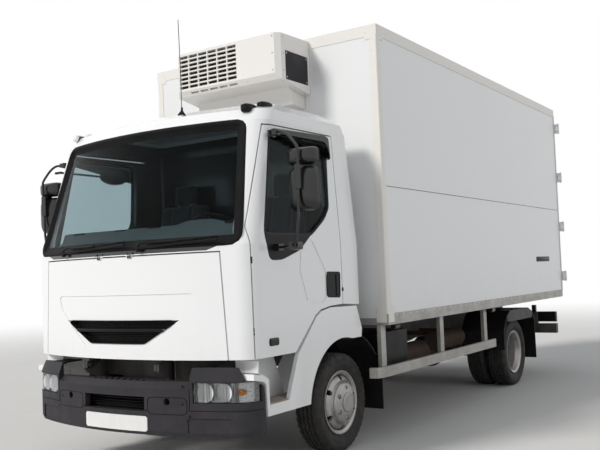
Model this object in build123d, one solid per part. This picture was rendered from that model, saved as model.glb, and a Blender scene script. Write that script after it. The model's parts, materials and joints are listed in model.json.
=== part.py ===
"""Refrigerated box truck with a tilting cab. Millimetres; front faces -Y, +X is the truck's left side.

Pieces are drawn with the front axle at y = 0 and the ground at z = 0. keep() then moves each one
along Y, so that the origin lies on the ground under the middle of the whole truck.
"""
import os
from math import cos, pi, sin, sqrt

from build123d import *

os.makedirs("parts", exist_ok=True)

# Whole vehicle
FRONT_Y = -1412.0             # foremost point of the bumper
WHEELBASE = 3750.0
RUN = 0.4                     # clearance between a turning surface and its bearing
SEAT = 0.3                    # clearance between two bodies that lie on each other
SEAM = 9.0                    # gap round a panel that opens

# Tyres and rims, 215/75 R17.5 on 6.00 rims
TYRE_R = 376.0
TYRE_W = 211.0
RIM_R = 222.0                 # bead seat radius
FLANGE_R = 241.0
RIM_W = 152.0                 # between the flanges
FLANGE_T = 12.0
DISC_OUT = 112.0              # disc's mounting face from the rim's middle
DISC_T = 11.0
HUB_R = 78.0
NAVE_R = 154.0                # raised middle of a front wheel
STUD_R = 118.0                # wheel nuts' circle
STUDS = 6
POCKET_R = 18.0               # round each wheel nut
HAND_HOLES = 6
HAND_HOLE_AT, HAND_HOLE_R = 190.0, 21.0
# Disc of a rim. Columns: outward offset, radius
DISC = [(DISC_OUT, NAVE_R - 2), (92, 162), (99, 170), (86, 192), (74, 201), (30, RIM_R - 20),
        (30, RIM_R - 32), (66, 190), (76, 184), (88, 168), (82, 158), (DISC_OUT - DISC_T, NAVE_R - 8)]
FRONT_TRACK = 907.0           # middle of a front tyre from the truck's middle
TWIN_OUT = 985.0              # middle of an outer rear tyre
TWIN_IN = TWIN_OUT - 2 * DISC_OUT - 2 * DISC_T
AXLE_Z = TYRE_R
BEAD = RIM_W / 2 - SEAT
# Tyre section. Columns: outward offset, radius
TREAD = [(-BEAD, RIM_R + SEAT), (BEAD, RIM_R + SEAT), (BEAD, 250), (101, 285), (TYRE_W / 2, 310), (101, 340),
         (90, 368), (78, TYRE_R), (-78, TYRE_R), (-90, 368), (-101, 340), (-TYRE_W / 2, 310), (-101, 285),
         (-BEAD, 250)]

# Steering
KINGPIN_X = 790.0
KINGPIN_R = 18.0
STUB_R = 30.0
ARM_Y = 190.0                 # tie rod behind the kingpins, on arms that stay parallel
ARM_EYE_R = 22.0
ROD_EYE_R = 20.0
BALL_R = 12.0                 # ball pins in the rod's eyes
ROD_Z = 262.0

# Springs, rear axle and shaft
SPRING_X = 395.0
SPRING_Z0 = 385.0             # underside of the springs over the axles
SPRING_T = 52.0
SPRING_RISE = 165.0
REAR_SPRING_RISE = 105.0
REAR_TUBE_R = 62.0
REAR_PAD = AXLE_Z + REAR_TUBE_R + 12
SHAFT_R = 45.0
SHAFT_A = (0, 520, 740)
SHAFT_B = (0, WHEELBASE - 345, AXLE_Z + 30)

# Ladder frame
RAIL_X = 430.0                # outer face of a side rail
RAIL_Z0, RAIL_Z1 = 640.0, 840.0
RAIL_T = 7.0
RAIL_FLANGE = 70.0
RAIL_Y0, RAIL_Y1 = -1230.0, 5230.0
SUB_Z1 = 925.0                # top of the box's long bearers
CROSS_Z1 = 990.0              # top of the box's cross bearers

# Cab
CAB_HALF = 1062.0
CAB_HALF_TOP = 1012.0
CAB_REAR = 270.0
CAB_Z0 = 832.0                # lower lip
BELT_Z = 1590.0               # foot of the windscreen
ROOF_Z0 = 2455.0
ROOF_Z1 = 2618.0
CAB_FRONT = -1366.0           # front panel in the middle
CAB_FRONT_BELT = -1356.0
CAB_FRONT_HEAD = -1074.0      # head of the windscreen in the middle
CROWN_R = 2924.0              # plan radius of the front
CAB_CORNER = 150.0
CAB_REAR_CORNER = 60.0
CAB_WALL = 60.0
FLOOR_Z0, FLOOR_Z1 = 930.0, 975.0
GLASS_T = 6.0
FIREWALL_Y0, FIREWALL_Y1 = -1155.0, -1127.0
TUNNEL_HALF = 400.0
TUNNEL_Z = 1260.0
WIPER_OUT = 38.0              # wipers in front of the glass

# Columns: height, front in the middle, half width, rear
CAB_LEVELS = [(CAB_Z0, CAB_FRONT, CAB_HALF, CAB_REAR),
              (BELT_Z, CAB_FRONT_BELT, CAB_HALF, CAB_REAR),
              (ROOF_Z0, CAB_FRONT_HEAD, CAB_HALF_TOP, CAB_REAR - 40)]
ROOF_LEVELS = [(ROOF_Z0, CAB_FRONT_HEAD, CAB_HALF_TOP, CAB_REAR - 40),
               (ROOF_Z0 + 85, CAB_FRONT_HEAD + 60, CAB_HALF_TOP - 22, CAB_REAR - 62),
               (ROOF_Z1, CAB_FRONT_HEAD + 290, CAB_HALF_TOP - 130, CAB_REAR - 200)]

# Middles of the roof lamps and of the aerial's foot
ROOF_LAMPS = [(866.0, -868.0, 2549.0), (900.0, -725.0, 2580.0)]
AERIAL = (315.0, -950.0, 2562.0)

# Doors of the cab, seen from the side as (y, z)
DOOR_FRONT_Y = -1130.0
DOOR_REAR_Y = -30.0
DOOR_TOP_Z = 2420.0
DOOR_OUTLINE = [(DOOR_FRONT_Y, CAB_Z0), (-690, CAB_Z0), (-415, 1075), (-345, 1108), (-210, 1128),
                (DOOR_REAR_Y, 1134), (DOOR_REAR_Y, DOOR_TOP_Z + 4), (-884, DOOR_TOP_Z - 8),
                (DOOR_FRONT_Y, 1700)]
WINDOW_OUTLINE = [(-1000, 1650), (-846, 2350), (-800, 2385), (-184, 2385), (-150, 2350), (-152, 1870),
                  (-221, 1780), (-425, 1650)]
# Valley pressed into the door below its window, the rib in it, and the handle's recess, as (y, z)
VALLEY = [(-772, 1460), (-640, 1336), (-535, 1195), (-470, 1160), (-300, 1160), (-190, 1240), (-260, 1400),
          (-430, 1625)]
RIB = [(-572, 1540), (-590, 1400), (-500, 1165), (-474, 1165), (-562, 1400), (-544, 1550)]
HANDLE = [(-240, 1378), (-58, 1373), (-66, 1189), (-239, 1198)]
VALLEY_T, HANDLE_T = 7.0, 24.0
DOOR_X0 = CAB_HALF - 172               # the doors take nothing of the shell inside this
ARCH_Y, ARCH_R = -30.0, 500.0  # wheel arch in the side view

# Door hinges: a lug from the firewall reaches into a pocket in the door's front edge
HINGE_Z = (1010.0, 1480.0)
HINGE_PIN_X, HINGE_PIN_Y = CAB_HALF - 32, -1075.0
HINGE_PIN_R = 6.0
HINGE_EYE_R = 9.5
POCKET = 13.0

# Front hatch and its hinge
HATCH_HALF_LOW, HATCH_HALF_TOP = CAB_HALF - 172, CAB_HALF - 214
HATCH_Z1 = 1540.0
SHIELD_T = 5.0
HATCH_HINGE_Y = CAB_FRONT + 12
HATCH_HINGE_Z = HATCH_Z1 + 8
HATCH_EYE_X = (150.0, -150.0)

# Cab tilt pivot, low behind the bumper
PIVOT_Y, PIVOT_Z = -1310.0, 778.0
LUG_X0, LUG_X1 = 330.0, 352.0

# Bumper: lamp pockets as (x0, x1, z0, z1) and towing sockets
LAMP_POCKET = (662.0, CAB_HALF - 4, 556.0, 690.0)
TOW_R = 24.0
TOW_PIN_R = 18.0
TOW_X, TOW_Z = 470.0, 562.0
TOW_EDGE = 34.0               # socket's wall beside its middle
TOW_DEPTH = 70.0
BUMPER_SKIN = 45.0
BUMPER_R = 2700.0             # plan radius of the bumper's face
BUMPER_HALF = CAB_HALF - 4
BUMPER_REAR = -1058.0
BUMPER_CORNER = 190.0
BUMPER_Z0, BUMPER_Z1 = 335.0, 782.0
BUMPER_MID_Z, BUMPER_MID_HALF = 690.0, 640.0
BUMPER_SEAM_Z = 505.0
GROOVE = 6.0
# Flat fields as (x0, x1, z0, z1)
TOW_COVER = (318.0, 622.0, 478.0, 590.0)
FOG_BLANK = (622.0, 918.0, 356.0, 456.0)

# The sockets' mouth touches the bumper's inner face at their outer edge
TOW_ARC = BUMPER_R - 40       # radius of the bumper's inside, which the sockets meet
TOW_MOUTH_Y = FRONT_Y + BUMPER_SKIN + TOW_ARC - sqrt(TOW_ARC ** 2 - (TOW_X + TOW_EDGE) ** 2) + SEAT

# Mirror housings as (x0, x1, y0, y1)
MIRROR = (CAB_HALF + 103, CAB_HALF + 373, -895.0, -815.0)
KERB_MIRROR = (-417.0, -112.0, 2231.0, 2361.0)   # oval of the kerb mirror as (y0, y1, z0, z1)

# Cargo box
BOX_HALF = 1210.0
BOX_Y0, BOX_Y1 = 424.0, 5335.0
BOX_Z0 = CROSS_Z1
BOX_Z1 = 3387.0
WALL = 80.0
FLOOR_T = 120.0
ROOF_T = 84.0
BOTTOM_RAIL_Z0, BOTTOM_RAIL_Z1 = CROSS_Z1 - 55, CROSS_Z1 + 34
POST = 66.0
POST_CORNER = 13.0
PANEL_IN = 6.0                # side panels lie this far inside the posts' faces

# Rear doors
LEAF_T = 68.0
PORTAL_OUT = 7.0              # the portal's face behind the box panels
LEAF_GAP = 4.0
LEAF_HALF_GAP = 4.0
LEAF_Z0, LEAF_Z1 = CROSS_Z1 + 20, BOX_Z1 - 57
LEAF_X1 = BOX_HALF - 15
HINGE_X = BOX_HALF + 25.0
HINGE_OUT = 20.0              # hinge pins stand this far behind the leaves
HINGE_R = 14.0
LEAF_Y0 = BOX_Y1 + PORTAL_OUT + LEAF_GAP
HINGE_Y = LEAF_Y0 + LEAF_T + HINGE_OUT
MID_Y = (FRONT_Y + HINGE_Y + HINGE_R) / 2
HINGE_LEVELS = (1200.0, 1850.0, 2500.0, 3150.0)

# Cooling unit
UNIT_HALF = 557.0
UNIT_Y0 = -35.0
UNIT_Z0, UNIT_Z1 = 3014.0, 3345.0
UNIT_SKIN = 18.0
UNIT_CORNER = 40.0
UNIT_OUTLET = (62.0, 400.0, 2972.0, 3216.0)   # dark side panel as (y0, y1, z0, z1)


def block(x0, x1, y0, y1, z0, z1):
    """Box between two corners."""
    return Pos((x0 + x1) / 2, (y0 + y1) / 2, (z0 + z1) / 2) * Box(abs(x1 - x0), abs(y1 - y0), abs(z1 - z0))


def rod(a, b, r, bore=0.0):
    """Round bar, or a tube, from point a to point b."""
    axis = Vector(*b) - Vector(*a)
    plane = Plane(origin=a, z_dir=axis)
    ring = Circle(r) - Circle(bore) if bore else Circle(r)
    return extrude(plane * ring, axis.length)


def bent_rod(points, r, bend):
    """Round bar along straight runs with rounded corners."""
    path = FilletPolyline(*points, radius=bend) if len(points) > 2 else Polyline(*points)
    start = Plane(origin=path @ 0, z_dir=path % 0)
    return sweep(start * Circle(r), path=path)


def side_plate(points, x0, x1):
    """Plate whose outline is a list of (y, z), from x0 to x1."""
    face = make_face(Polyline(*[(x0, y, z) for y, z in points], close=True))
    return extrude(face, amount=x1 - x0, dir=(1, 0, 0))


def front_plate(points, y0, y1):
    """Plate whose outline is a list of (x, z), from y0 to y1."""
    face = make_face(Polyline(*[(x, y0, z) for x, z in points], close=True))
    return extrude(face, amount=y1 - y0, dir=(0, 1, 0))


def flat_plate(points, z0, z1):
    """Plate whose outline is a list of (x, y), from z0 to z1."""
    face = make_face(Polyline(*[(x, y, z0) for x, y in points], close=True))
    return extrude(face, amount=z1 - z0, dir=(0, 0, 1))


def other_side(shape):
    return mirror(shape, about=Plane.YZ)


def both(shape):
    return shape + other_side(shape)


def fuse(pieces):
    whole = pieces[0]
    for piece in pieces[1:]:
        whole = whole + piece
    return whole


def keep(name, *pieces):
    """Moves the pieces to the truck's own origin and writes them as one node."""
    solids = []
    for piece in pieces:
        solids.extend(piece.solids())
    moved = [Pos(0, -MID_Y, 0) * solid for solid in solids]
    whole = moved[0] if len(moved) == 1 else Compound(moved)
    export_step(whole, f"parts/{name}.step")
    return whole


def turned(profile, x, y, side):
    """Ring about the axle line at (x, y) from a list of (outward offset, radius)."""
    points = [(x + side * u, y, AXLE_Z + r) for u, r in profile]
    face = make_face(Polyline(*points, close=True))
    return revolve(face, Axis((x, y, AXLE_Z), (1, 0, 0)))


def tyre(x, y, side):
    return turned(TREAD, x, y, side)


def rim(x, y, side, hub_r, bore, hub_in, hub_out):
    """Rim with its dished disc; the disc stands outwards for side = 1 on the left of the truck."""
    half = RIM_W / 2
    lip = half + FLANGE_T
    low_r, lip_r = RIM_R - 8, FLANGE_R - 8
    inner_side = [(-half, RIM_R), (-half, FLANGE_R), (-lip, FLANGE_R), (-lip, lip_r), (-half, low_r)]
    well = [(-30, RIM_R - 26), (30, RIM_R - 26)]
    outer_side = [(-u, r) for u, r in reversed(inner_side)]
    bed = [(30, RIM_R - 16), (-30, RIM_R - 16)]
    barrel = turned(inner_side + well + outer_side + bed, x, y, side)
    disc = turned([(DISC_OUT, hub_r - 12)] + DISC + [(DISC_OUT - DISC_T, hub_r - 12)], x, y, side)
    disc = disc - bolt_circle(x, y, side, HAND_HOLE_AT, HAND_HOLE_R, HAND_HOLES, 50, DISC_OUT)
    hub = turned([(hub_in, bore), (hub_out, bore), (hub_out, hub_r), (hub_in, hub_r)], x, y, side)
    return barrel + disc + hub


def bolt_circle(x, y, side, circle, r, count, u0, u1):
    """Round bars on a circle about the axle line, between two outward offsets."""
    bars = []
    for i in range(count):
        a = 2 * pi * (i + 0.5) / count
        py, pz = y + circle * cos(a), AXLE_Z + circle * sin(a)
        bars.append(rod((x + side * u0, py, pz), (x + side * u1, py, pz), r))
    return Compound(bars)


def nave(x, side):
    """Domed middle of a front wheel with a pocket for each nut, and the flat hub cap."""
    dome = turned([(DISC_OUT - 1, HUB_R - 6), (DISC_OUT + 33, HUB_R - 6), (DISC_OUT + 33, HUB_R + 6),
                   (DISC_OUT + 27, 112), (DISC_OUT + 17, NAVE_R - 9), (DISC_OUT + 6, NAVE_R),
                   (DISC_OUT - 1, NAVE_R)], x, 0, side)
    dome = dome - bolt_circle(x, 0, side, STUD_R, POCKET_R, STUDS, DISC_OUT + 8, DISC_OUT + 60)
    u0, u1, cap_r = DISC_OUT + 30, DISC_OUT + 42, HUB_R - 6
    cap = turned([(u0, 0), (u1, 0), (u1, cap_r - 8), (u1 - 4, cap_r), (u0, cap_r)], x, 0, side)
    return dome + cap


def wheel_set(side, tag):
    """Front wheel on its stub, and the rear twins as one body."""
    x = side * FRONT_TRACK
    keep(f"tyre_front_{tag}", tyre(x, 0, side))
    wheel = rim(x, 0, side, HUB_R, STUB_R + RUN, -30, DISC_OUT + 30) + nave(x, side)
    keep(f"rim_front_{tag}", wheel)
    outer = side * TWIN_OUT
    inner = side * TWIN_IN
    keep(f"tyre_rear_{tag}", tyre(outer, WHEELBASE, side), tyre(inner, WHEELBASE, side))
    twin = rim(outer, WHEELBASE, -side, HUB_R + 6, 52 + RUN, DISC_OUT - 60, DISC_OUT + 60)
    twin = twin + rim(inner, WHEELBASE, side, HUB_R + 6, 52 + RUN, DISC_OUT - 60, DISC_OUT + 60)
    face = turned([(-DISC_OUT - DISC_T + 20, 0), (-DISC_OUT - DISC_T + 92, 0),
                   (-DISC_OUT - DISC_T + 80, 70), (-DISC_OUT - DISC_T + 20, HUB_R)],
                  outer, WHEELBASE, side)
    bridge = turned([(-DISC_OUT - DISC_T, HUB_R - 14), (-DISC_OUT, HUB_R - 14), (-DISC_OUT, 140),
                     (-DISC_OUT - 2 * DISC_T, 140), (-DISC_OUT - 2 * DISC_T, HUB_R - 14)],
                    outer, WHEELBASE, side)
    keep(f"rim_rear_{tag}", twin + bridge + face)


def knuckle(side, tag):
    """Fork round the beam's eye, stub axle, brake plate and the arm of the tie rod."""
    x = side * KINGPIN_X
    pin = rod((x, 0, AXLE_Z - 92), (x, 0, AXLE_Z + 92), KINGPIN_R)
    web_x0, web_x1 = x + side * 48, x + side * 62
    parts = [pin]
    for z0, z1 in ((AXLE_Z - 86, AXLE_Z - 50), (AXLE_Z + 50, AXLE_Z + 86)):
        parts.append(rod((x, 0, z0), (x, 0, z1), 38))
        parts.append(block(x, web_x1, -38, 38, z0, z1))
    parts.append(block(web_x0, web_x1, -48, 48, AXLE_Z - 86, AXLE_Z + 86))
    plate = rod((web_x1 - side * 6, 0, AXLE_Z), (web_x1 + side * 4, 0, AXLE_Z), 150)
    stub = rod((web_x0, 0, AXLE_Z), (side * (FRONT_TRACK + DISC_OUT + 30), 0, AXLE_Z), STUB_R)
    arm = flat_plate([(x - 20, 20), (x + 20, 20), (x + ARM_EYE_R - 2, ARM_Y), (x - ARM_EYE_R + 2, ARM_Y)],
                     AXLE_Z - 86, AXLE_Z - 66)
    ball = rod((x, ARM_Y, ROD_Z), (x, ARM_Y, AXLE_Z - 66), BALL_R)
    eye = rod((x, ARM_Y, AXLE_Z - 86), (x, ARM_Y, AXLE_Z - 66), ARM_EYE_R)
    keep(f"knuckle_{tag}", fuse(parts + [plate, stub, arm, eye, ball]))


def tie_rod():
    """Rod between the two steering arms, with an eye round each ball pin."""
    ends = []
    for side in (-1, 1):
        x = side * KINGPIN_X
        eye = rod((x, ARM_Y, ROD_Z - 4), (x, ARM_Y, ROD_Z + 18), ROD_EYE_R)
        ends.append(eye - rod((x, ARM_Y, ROD_Z - SEAT), (x, ARM_Y, ROD_Z + 40), BALL_R + RUN))
    reach = KINGPIN_X - ROD_EYE_R + 4
    bar = rod((-reach, ARM_Y, ROD_Z + 7), (reach, ARM_Y, ROD_Z + 7), 9)
    keep("tie_rod", fuse(ends + [bar]))


def front_axle():
    """Dropped beam with an eye for each kingpin and a seat for each spring."""
    half = [(0, 250), (330, 250), (470, 290), (640, 345), (KINGPIN_X - 20, 345), (KINGPIN_X - 20, 407),
            (630, 407), (450, 360), (330, 330), (0, 330)]
    beam = front_plate(half, -38, 38)
    boss = rod((KINGPIN_X, 0, AXLE_Z - 44), (KINGPIN_X, 0, AXLE_Z + 44), 40)
    beam = beam + boss
    beam = beam - rod((KINGPIN_X, 0, 200), (KINGPIN_X, 0, 500), KINGPIN_R + RUN)
    seat = block(SPRING_X - 45, SPRING_X + 45, -70, 70, 330, SPRING_Z0)
    keep("front_axle", both(beam + seat))


def spring(y, half_length, z, rise):
    """Bent leaf pack from an arc, its ends higher than its middle."""
    r = (half_length ** 2 + rise ** 2) / (2 * rise)
    arc_low = ThreePointArc((SPRING_X - 35, y - half_length, z + rise), (SPRING_X - 35, y, z),
                            (SPRING_X - 35, y + half_length, z + rise))
    k = (r - SPRING_T) / r
    top = z + r
    a0 = (SPRING_X - 35, y - half_length * k, top - (top - z - rise) * k)
    a1 = (SPRING_X - 35, y, z + SPRING_T)
    a2 = (SPRING_X - 35, y + half_length * k, top - (top - z - rise) * k)
    arc_high = ThreePointArc(a2, a1, a0)
    joins = [Line(arc_low @ 1, a2), Line(a0, arc_low @ 0)]
    pack = extrude(make_face([arc_low, joins[0], arc_high, joins[1]]), amount=70, dir=(1, 0, 0))
    for end in (-1, 1):
        ey = y + end * (half_length - 12)
        hanger = block(SPRING_X - 42, SPRING_X + 35, ey - 45, ey + 45, z + rise - 30, RAIL_Z0 - SEAT)
        pack = pack + hanger
    return pack


def springs():
    front = spring(0, 640, SPRING_Z0 + SEAT, SPRING_RISE)
    rear = spring(WHEELBASE, 680, REAR_PAD + SEAT, REAR_SPRING_RISE)
    keep("leaf_springs", both(front), both(rear))


def rear_axle():
    """Axle tube, differential housing and spring pads; the stub ends carry the twins."""
    y = WHEELBASE
    end = TWIN_OUT - DISC_OUT - DISC_T + 10
    tube = rod((-TWIN_IN - 36, y, AXLE_Z), (TWIN_IN + 36, y, AXLE_Z), REAR_TUBE_R)
    stub = rod((-end - 40, y, AXLE_Z), (end + 40, y, AXLE_Z), 52) & block(-end, end, y - 90, y + 90, 200, 600)
    ball = Pos(0, y, AXLE_Z) * Sphere(205)
    ball = ball & block(-150, 150, y - 190, y + 205, AXLE_Z - 190, AXLE_Z + 190)
    nose = rod((0, y - 330, AXLE_Z + 20), (0, y - 150, AXLE_Z + 10), 82)
    pads = both(block(SPRING_X - 45, SPRING_X + 45, y - 80, y + 80, AXLE_Z, REAR_PAD))
    inner = side_drum(y)
    keep("rear_axle", fuse([tube, stub, ball, nose, pads, inner]))


def side_drum(y):
    """Brake back plates inside the inner rims."""
    x = TWIN_IN - 60
    return both(rod((x - 12, y, AXLE_Z), (x, y, AXLE_Z), 180))


def frame_rails():
    """Two channel rails and the cross members between them."""
    rail = block(RAIL_X - RAIL_FLANGE, RAIL_X, RAIL_Y0, RAIL_Y1, RAIL_Z0, RAIL_Z1)
    rail = rail - block(RAIL_X - RAIL_FLANGE - 5, RAIL_X - RAIL_T, RAIL_Y0 - 5, RAIL_Y1 + 5,
                        RAIL_Z0 + RAIL_T, RAIL_Z1 - RAIL_T)
    members = []
    inner = RAIL_X - RAIL_T - SEAT
    for y in (-1045, 900, 1450, 2250, 3050, 4500, RAIL_Y1 - 40):
        bar = block(-inner, inner, y - 40, y + 40, RAIL_Z0 + 40, RAIL_Z1 - 40)
        bar = bar - block(-inner - 5, inner + 5, y - 33, y + 45, RAIL_Z0 + 47, RAIL_Z1 - 47)
        members.append(bar - rod(SHAFT_A, SHAFT_B, SHAFT_R + 30))
    ear = side_plate([(PIVOT_Y - 24, PIVOT_Z + 22), (PIVOT_Y - 24, PIVOT_Z - 24), (PIVOT_Y + 10, PIVOT_Z - 62),
                      (RAIL_Y0 - 20, RAIL_Z0 + 60), (RAIL_Y0 + 90, RAIL_Z0 + 3), (RAIL_Y0 + 90, RAIL_Z1 - 3),
                      (RAIL_Y0, RAIL_Z1 - 3), (PIVOT_Y + 24, PIVOT_Z + 22)], LUG_X1 + 6, LUG_X1 + 22)
    pin = rod((LUG_X0 - 8, PIVOT_Y, PIVOT_Z), (LUG_X1 + 22, PIVOT_Y, PIVOT_Z), 14)
    pin = pin + rod((LUG_X1 + SEAT, PIVOT_Y, PIVOT_Z), (LUG_X1 + 8, PIVOT_Y, PIVOT_Z), 21)
    keep("frame_rails", both(rail + ear + pin), *members)


def box_bearers():
    """Long bearers on the rails and the cross bearers of the box floor."""
    long_bearer = block(RAIL_X - 70, RAIL_X - 5, BOX_Y0 + 60, RAIL_Y1 - 20, RAIL_Z1 + SEAT, SUB_Z1)
    half = BOX_HALF - WALL - 10
    count = 11
    first, last = BOX_Y0 + 120, BOX_Y1 - 120
    bars = []
    for i in range(count):
        y = first + (last - first) * i / (count - 1)
        bars.append(block(-half, half, y - 25, y + 25, SUB_Z1 + SEAT, CROSS_Z1 - SEAT))
    keep("box_bearers", both(long_bearer), *bars)


def engine():
    """Engine block under the cab, with the gearbox behind it."""
    block_low = block(-250, 250, -980, -180, 520, 640)
    block_mid = block(-330, 330, -980, -180, 640, 1180)
    sump = block(-190, 190, -860, -300, 430, 520)
    keep("engine", fuse([block_low, block_mid, sump]))


def driveline():
    """Gearbox and propeller shaft to the nose of the rear axle."""
    bell = rod((0, -180 + SEAT, 760), (0, -20, 760), 210)
    gearbox = rod((0, -20, 760), (0, 520, 740), 150)
    shaft = rod(SHAFT_A, SHAFT_B, SHAFT_R)
    cross = block(-300, 300, 380, 440, 600, 700)
    hangers = both(block(300, RAIL_X - RAIL_T - SEAT, 380, 440, 655, 700))
    keep("driveline", fuse([bell, gearbox, shaft, cross, hangers]))


def exhaust():
    """Silencer across the right rail, its pipe and the straps up to the rail."""
    x = -600
    can = rod((x, 700, 620), (x, 1400, 620), 140)
    tail = rod((x, 1400, 620), (x, 1640, 620), 42, 36)
    front = bent_rod([(x, 720, 575), (x, 600, 575), (-300, 330, 575), (-300, -150, 575)], 40, 60)
    straps = [block(-RAIL_X - SEAT, x, y - 20, y + 20, 700, 760) for y in (820, 1280)]
    posts = [block(x - 20, x + 20, y - 20, y + 20, 700, 780) for y in (820, 1280)]
    keep("exhaust", fuse([can, tail, front] + straps + posts))


def fuel_tank():
    """Rounded tank on the right, on two brackets of the rail."""
    x0, x1 = -1080, -560
    tank = block(x0, x1, 1750, 2750, 420, 880)
    tank = fillet(tank.edges().filter_by(Axis.Y), 70)
    brackets = [block(x1 - 20, -RAIL_X - SEAT, y - 35, y + 35, 660, 800) for y in (1980, 2520)]
    keep("fuel_tank", fuse([tank] + brackets))


def battery_box():
    """Battery box and equipment box on the left rail."""
    box = block(620, 1060, 560, 1060, 560, 860)
    box = fillet(box.edges().filter_by(Axis.Z), 20)
    arm = block(RAIL_X + SEAT, 620, 700, 940, 670, 780)
    keep("battery_box", box + arm)


def air_tanks():
    """Air tank with straps and the small tank behind it, on the left rail."""
    pieces = []
    for y0, y1, z, r, x in ((1120, 1620, 600, 105, 900), (2150, 2750, 640, 95, 800)):
        tank = rod((x, y0, z), (x, y1, z), r)
        for y in (y0 + 110, y1 - 110):
            tank = tank + block(RAIL_X + SEAT, x, y - 22, y + 22, z + 50, z + 90)
        pieces.append(tank)
    keep("air_tanks", *pieces)


# Plan outline of the cab: an arc in front, corners, straight sides
def plan_face(z, front, half, rear, corner, rear_corner, radius=CROWN_R):
    depth = rear - front
    frame = Pos(0, front + depth / 2) * Rectangle(2 * half, depth)
    disc = Pos(0, front + radius) * Circle(radius)
    outline = frame & disc if radius < 1e5 else frame
    tips = outline.vertices().sort_by(Axis.Y)
    outline = fillet(tips[:2], corner)
    tips = outline.vertices().sort_by(Axis.Y)
    outline = fillet(tips[-2:], rear_corner)
    return Pos(0, 0, z) * outline


def cab_loft(levels, inset):
    faces = []
    for z, front, half, rear in levels:
        faces.append(plan_face(z, front + inset, half - inset, rear - inset, CAB_CORNER - inset,
                               CAB_REAR_CORNER - inset * 0.6, CROWN_R - inset))
    body = None
    for low, high in zip(faces[:-1], faces[1:]):
        piece = loft([low, high], ruled=True)
        body = piece if body is None else body + piece
    return body


def grown(points, gap):
    """Outline moved outwards by a gap, as a wire of (y, z) points."""
    n = len(points)
    following = points[1:] + points[:1]
    area = sum(a[0] * b[1] - b[0] * a[1] for a, b in zip(points, following))
    turn = 1 if area > 0 else -1
    out = []
    for i in range(n):
        (ax, ay), (bx, by), (cx, cy) = points[i - 1], points[i], points[(i + 1) % n]
        u = Vector(bx - ax, by - ay).normalized()
        v = Vector(cx - bx, cy - by).normalized()
        nu, nv = Vector(u.Y, -u.X) * turn, Vector(v.Y, -v.X) * turn
        m = (nu + nv) * (gap / (1 + nu.dot(nv)))
        out.append((bx + m.X, by + m.Y))
    return out


def windscreen_cut(inset):
    """Prism through the windscreen, seen from the front, narrower by the inset."""
    low, high = BELT_Z + 12 + inset, ROOF_Z0 - 12 - inset
    hl, hh = CAB_HALF - 77 - inset, CAB_HALF_TOP - 136 - inset
    sheet = front_plate([(-hl, low), (hl, low), (hh, high), (-hh, high)], -1500, -850)
    return fillet(sheet.edges().filter_by(Axis.Y), 60)


def hatch_eye(x):
    """Eye on the hatch's top edge, round the cab's pin."""
    y, z = HATCH_HINGE_Y, HATCH_HINGE_Z
    eye = rod((x - 20, y, z), (x + 20, y, z), 7) + block(x - 20, x + 20, y - 7, y + 7, HATCH_Z1 - 10, z)
    return eye - rod((x - 21, y, z), (x + 21, y, z), 3.5 + RUN / 2)


def hatch_notch(x):
    """Room for the turning eye in the strip below the windscreen."""
    y, z = HATCH_HINGE_Y, HATCH_HINGE_Z
    return block(x - 23, x + 23, y - 20, y + 12, z - 5, z + 12)


def hatch_pin(x):
    """Pin of one hatch hinge between two ears below the windscreen."""
    y, z = HATCH_HINGE_Y, HATCH_HINGE_Z
    ears = []
    for a, b in ((-33, -23), (23, 33)):
        ears.append(block(x + a, x + b, y - 4.6, y + 4.6, z - 4.6, HATCH_Z1 + SEAM + 22))
        ears.append(block(x + a, x + b, y - 4.6, y + 30, HATCH_Z1 + SEAM + 2, HATCH_Z1 + SEAM + 22))
    return fuse(ears + [rod((x - 33, y, z), (x + 33, y, z), 3.5)])


def door_relief(door):
    """Presses the valley and the handle's recess into the door, with the rib and the grip in them."""
    face, out = CAB_HALF, CAB_HALF + 50
    valley = side_plate(VALLEY, face - VALLEY_T, out)
    valley = fillet(valley.edges().filter_by(Axis.X), 16)
    rib = side_plate(RIB, face - VALLEY_T - 4, face - 1)
    recess = side_plate(HANDLE, face - HANDLE_T, out)
    recess = fillet(recess.edges().filter_by(Axis.X), 18)
    grip = side_plate([(-118, 1200), (-84, 1200), (-84, 1364), (-118, 1364)], face - HANDLE_T - 4, face - 4)
    return ((door - valley) + rib) - recess + grip


def door_lug(z):
    x, y = HINGE_PIN_X, HINGE_PIN_Y
    leg = block(x - 90, x - 74, FIREWALL_Y0 + 10, y + 8, z - 15, z + 15)
    arm = block(x - 90, x, y - 8, y + 8, z - 15, z + 15)
    eye = rod((x, y, z - 15), (x, y, z + 15), HINGE_EYE_R)
    return fuse([leg, arm, eye, rod((x, y, z - 40), (x, y, z + 40), HINGE_PIN_R)])


def hinge_pocket(z):
    x, y = HINGE_PIN_X, HINGE_PIN_Y
    pocket = block(x - 110, x + POCKET, DOOR_FRONT_Y - 5, y + POCKET, z - 22, z + 22)
    return pocket + rod((x, y, z - 42), (x, y, z + 42), HINGE_PIN_R + RUN / 2)


def hatch_prism(gap):
    pts = grown([(-HATCH_HALF_LOW, CAB_Z0 - 20), (HATCH_HALF_LOW, CAB_Z0 - 20), (HATCH_HALF_TOP, HATCH_Z1),
                 (-HATCH_HALF_TOP, HATCH_Z1)], gap)
    return front_plate(pts, -1500, -1100)


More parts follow.
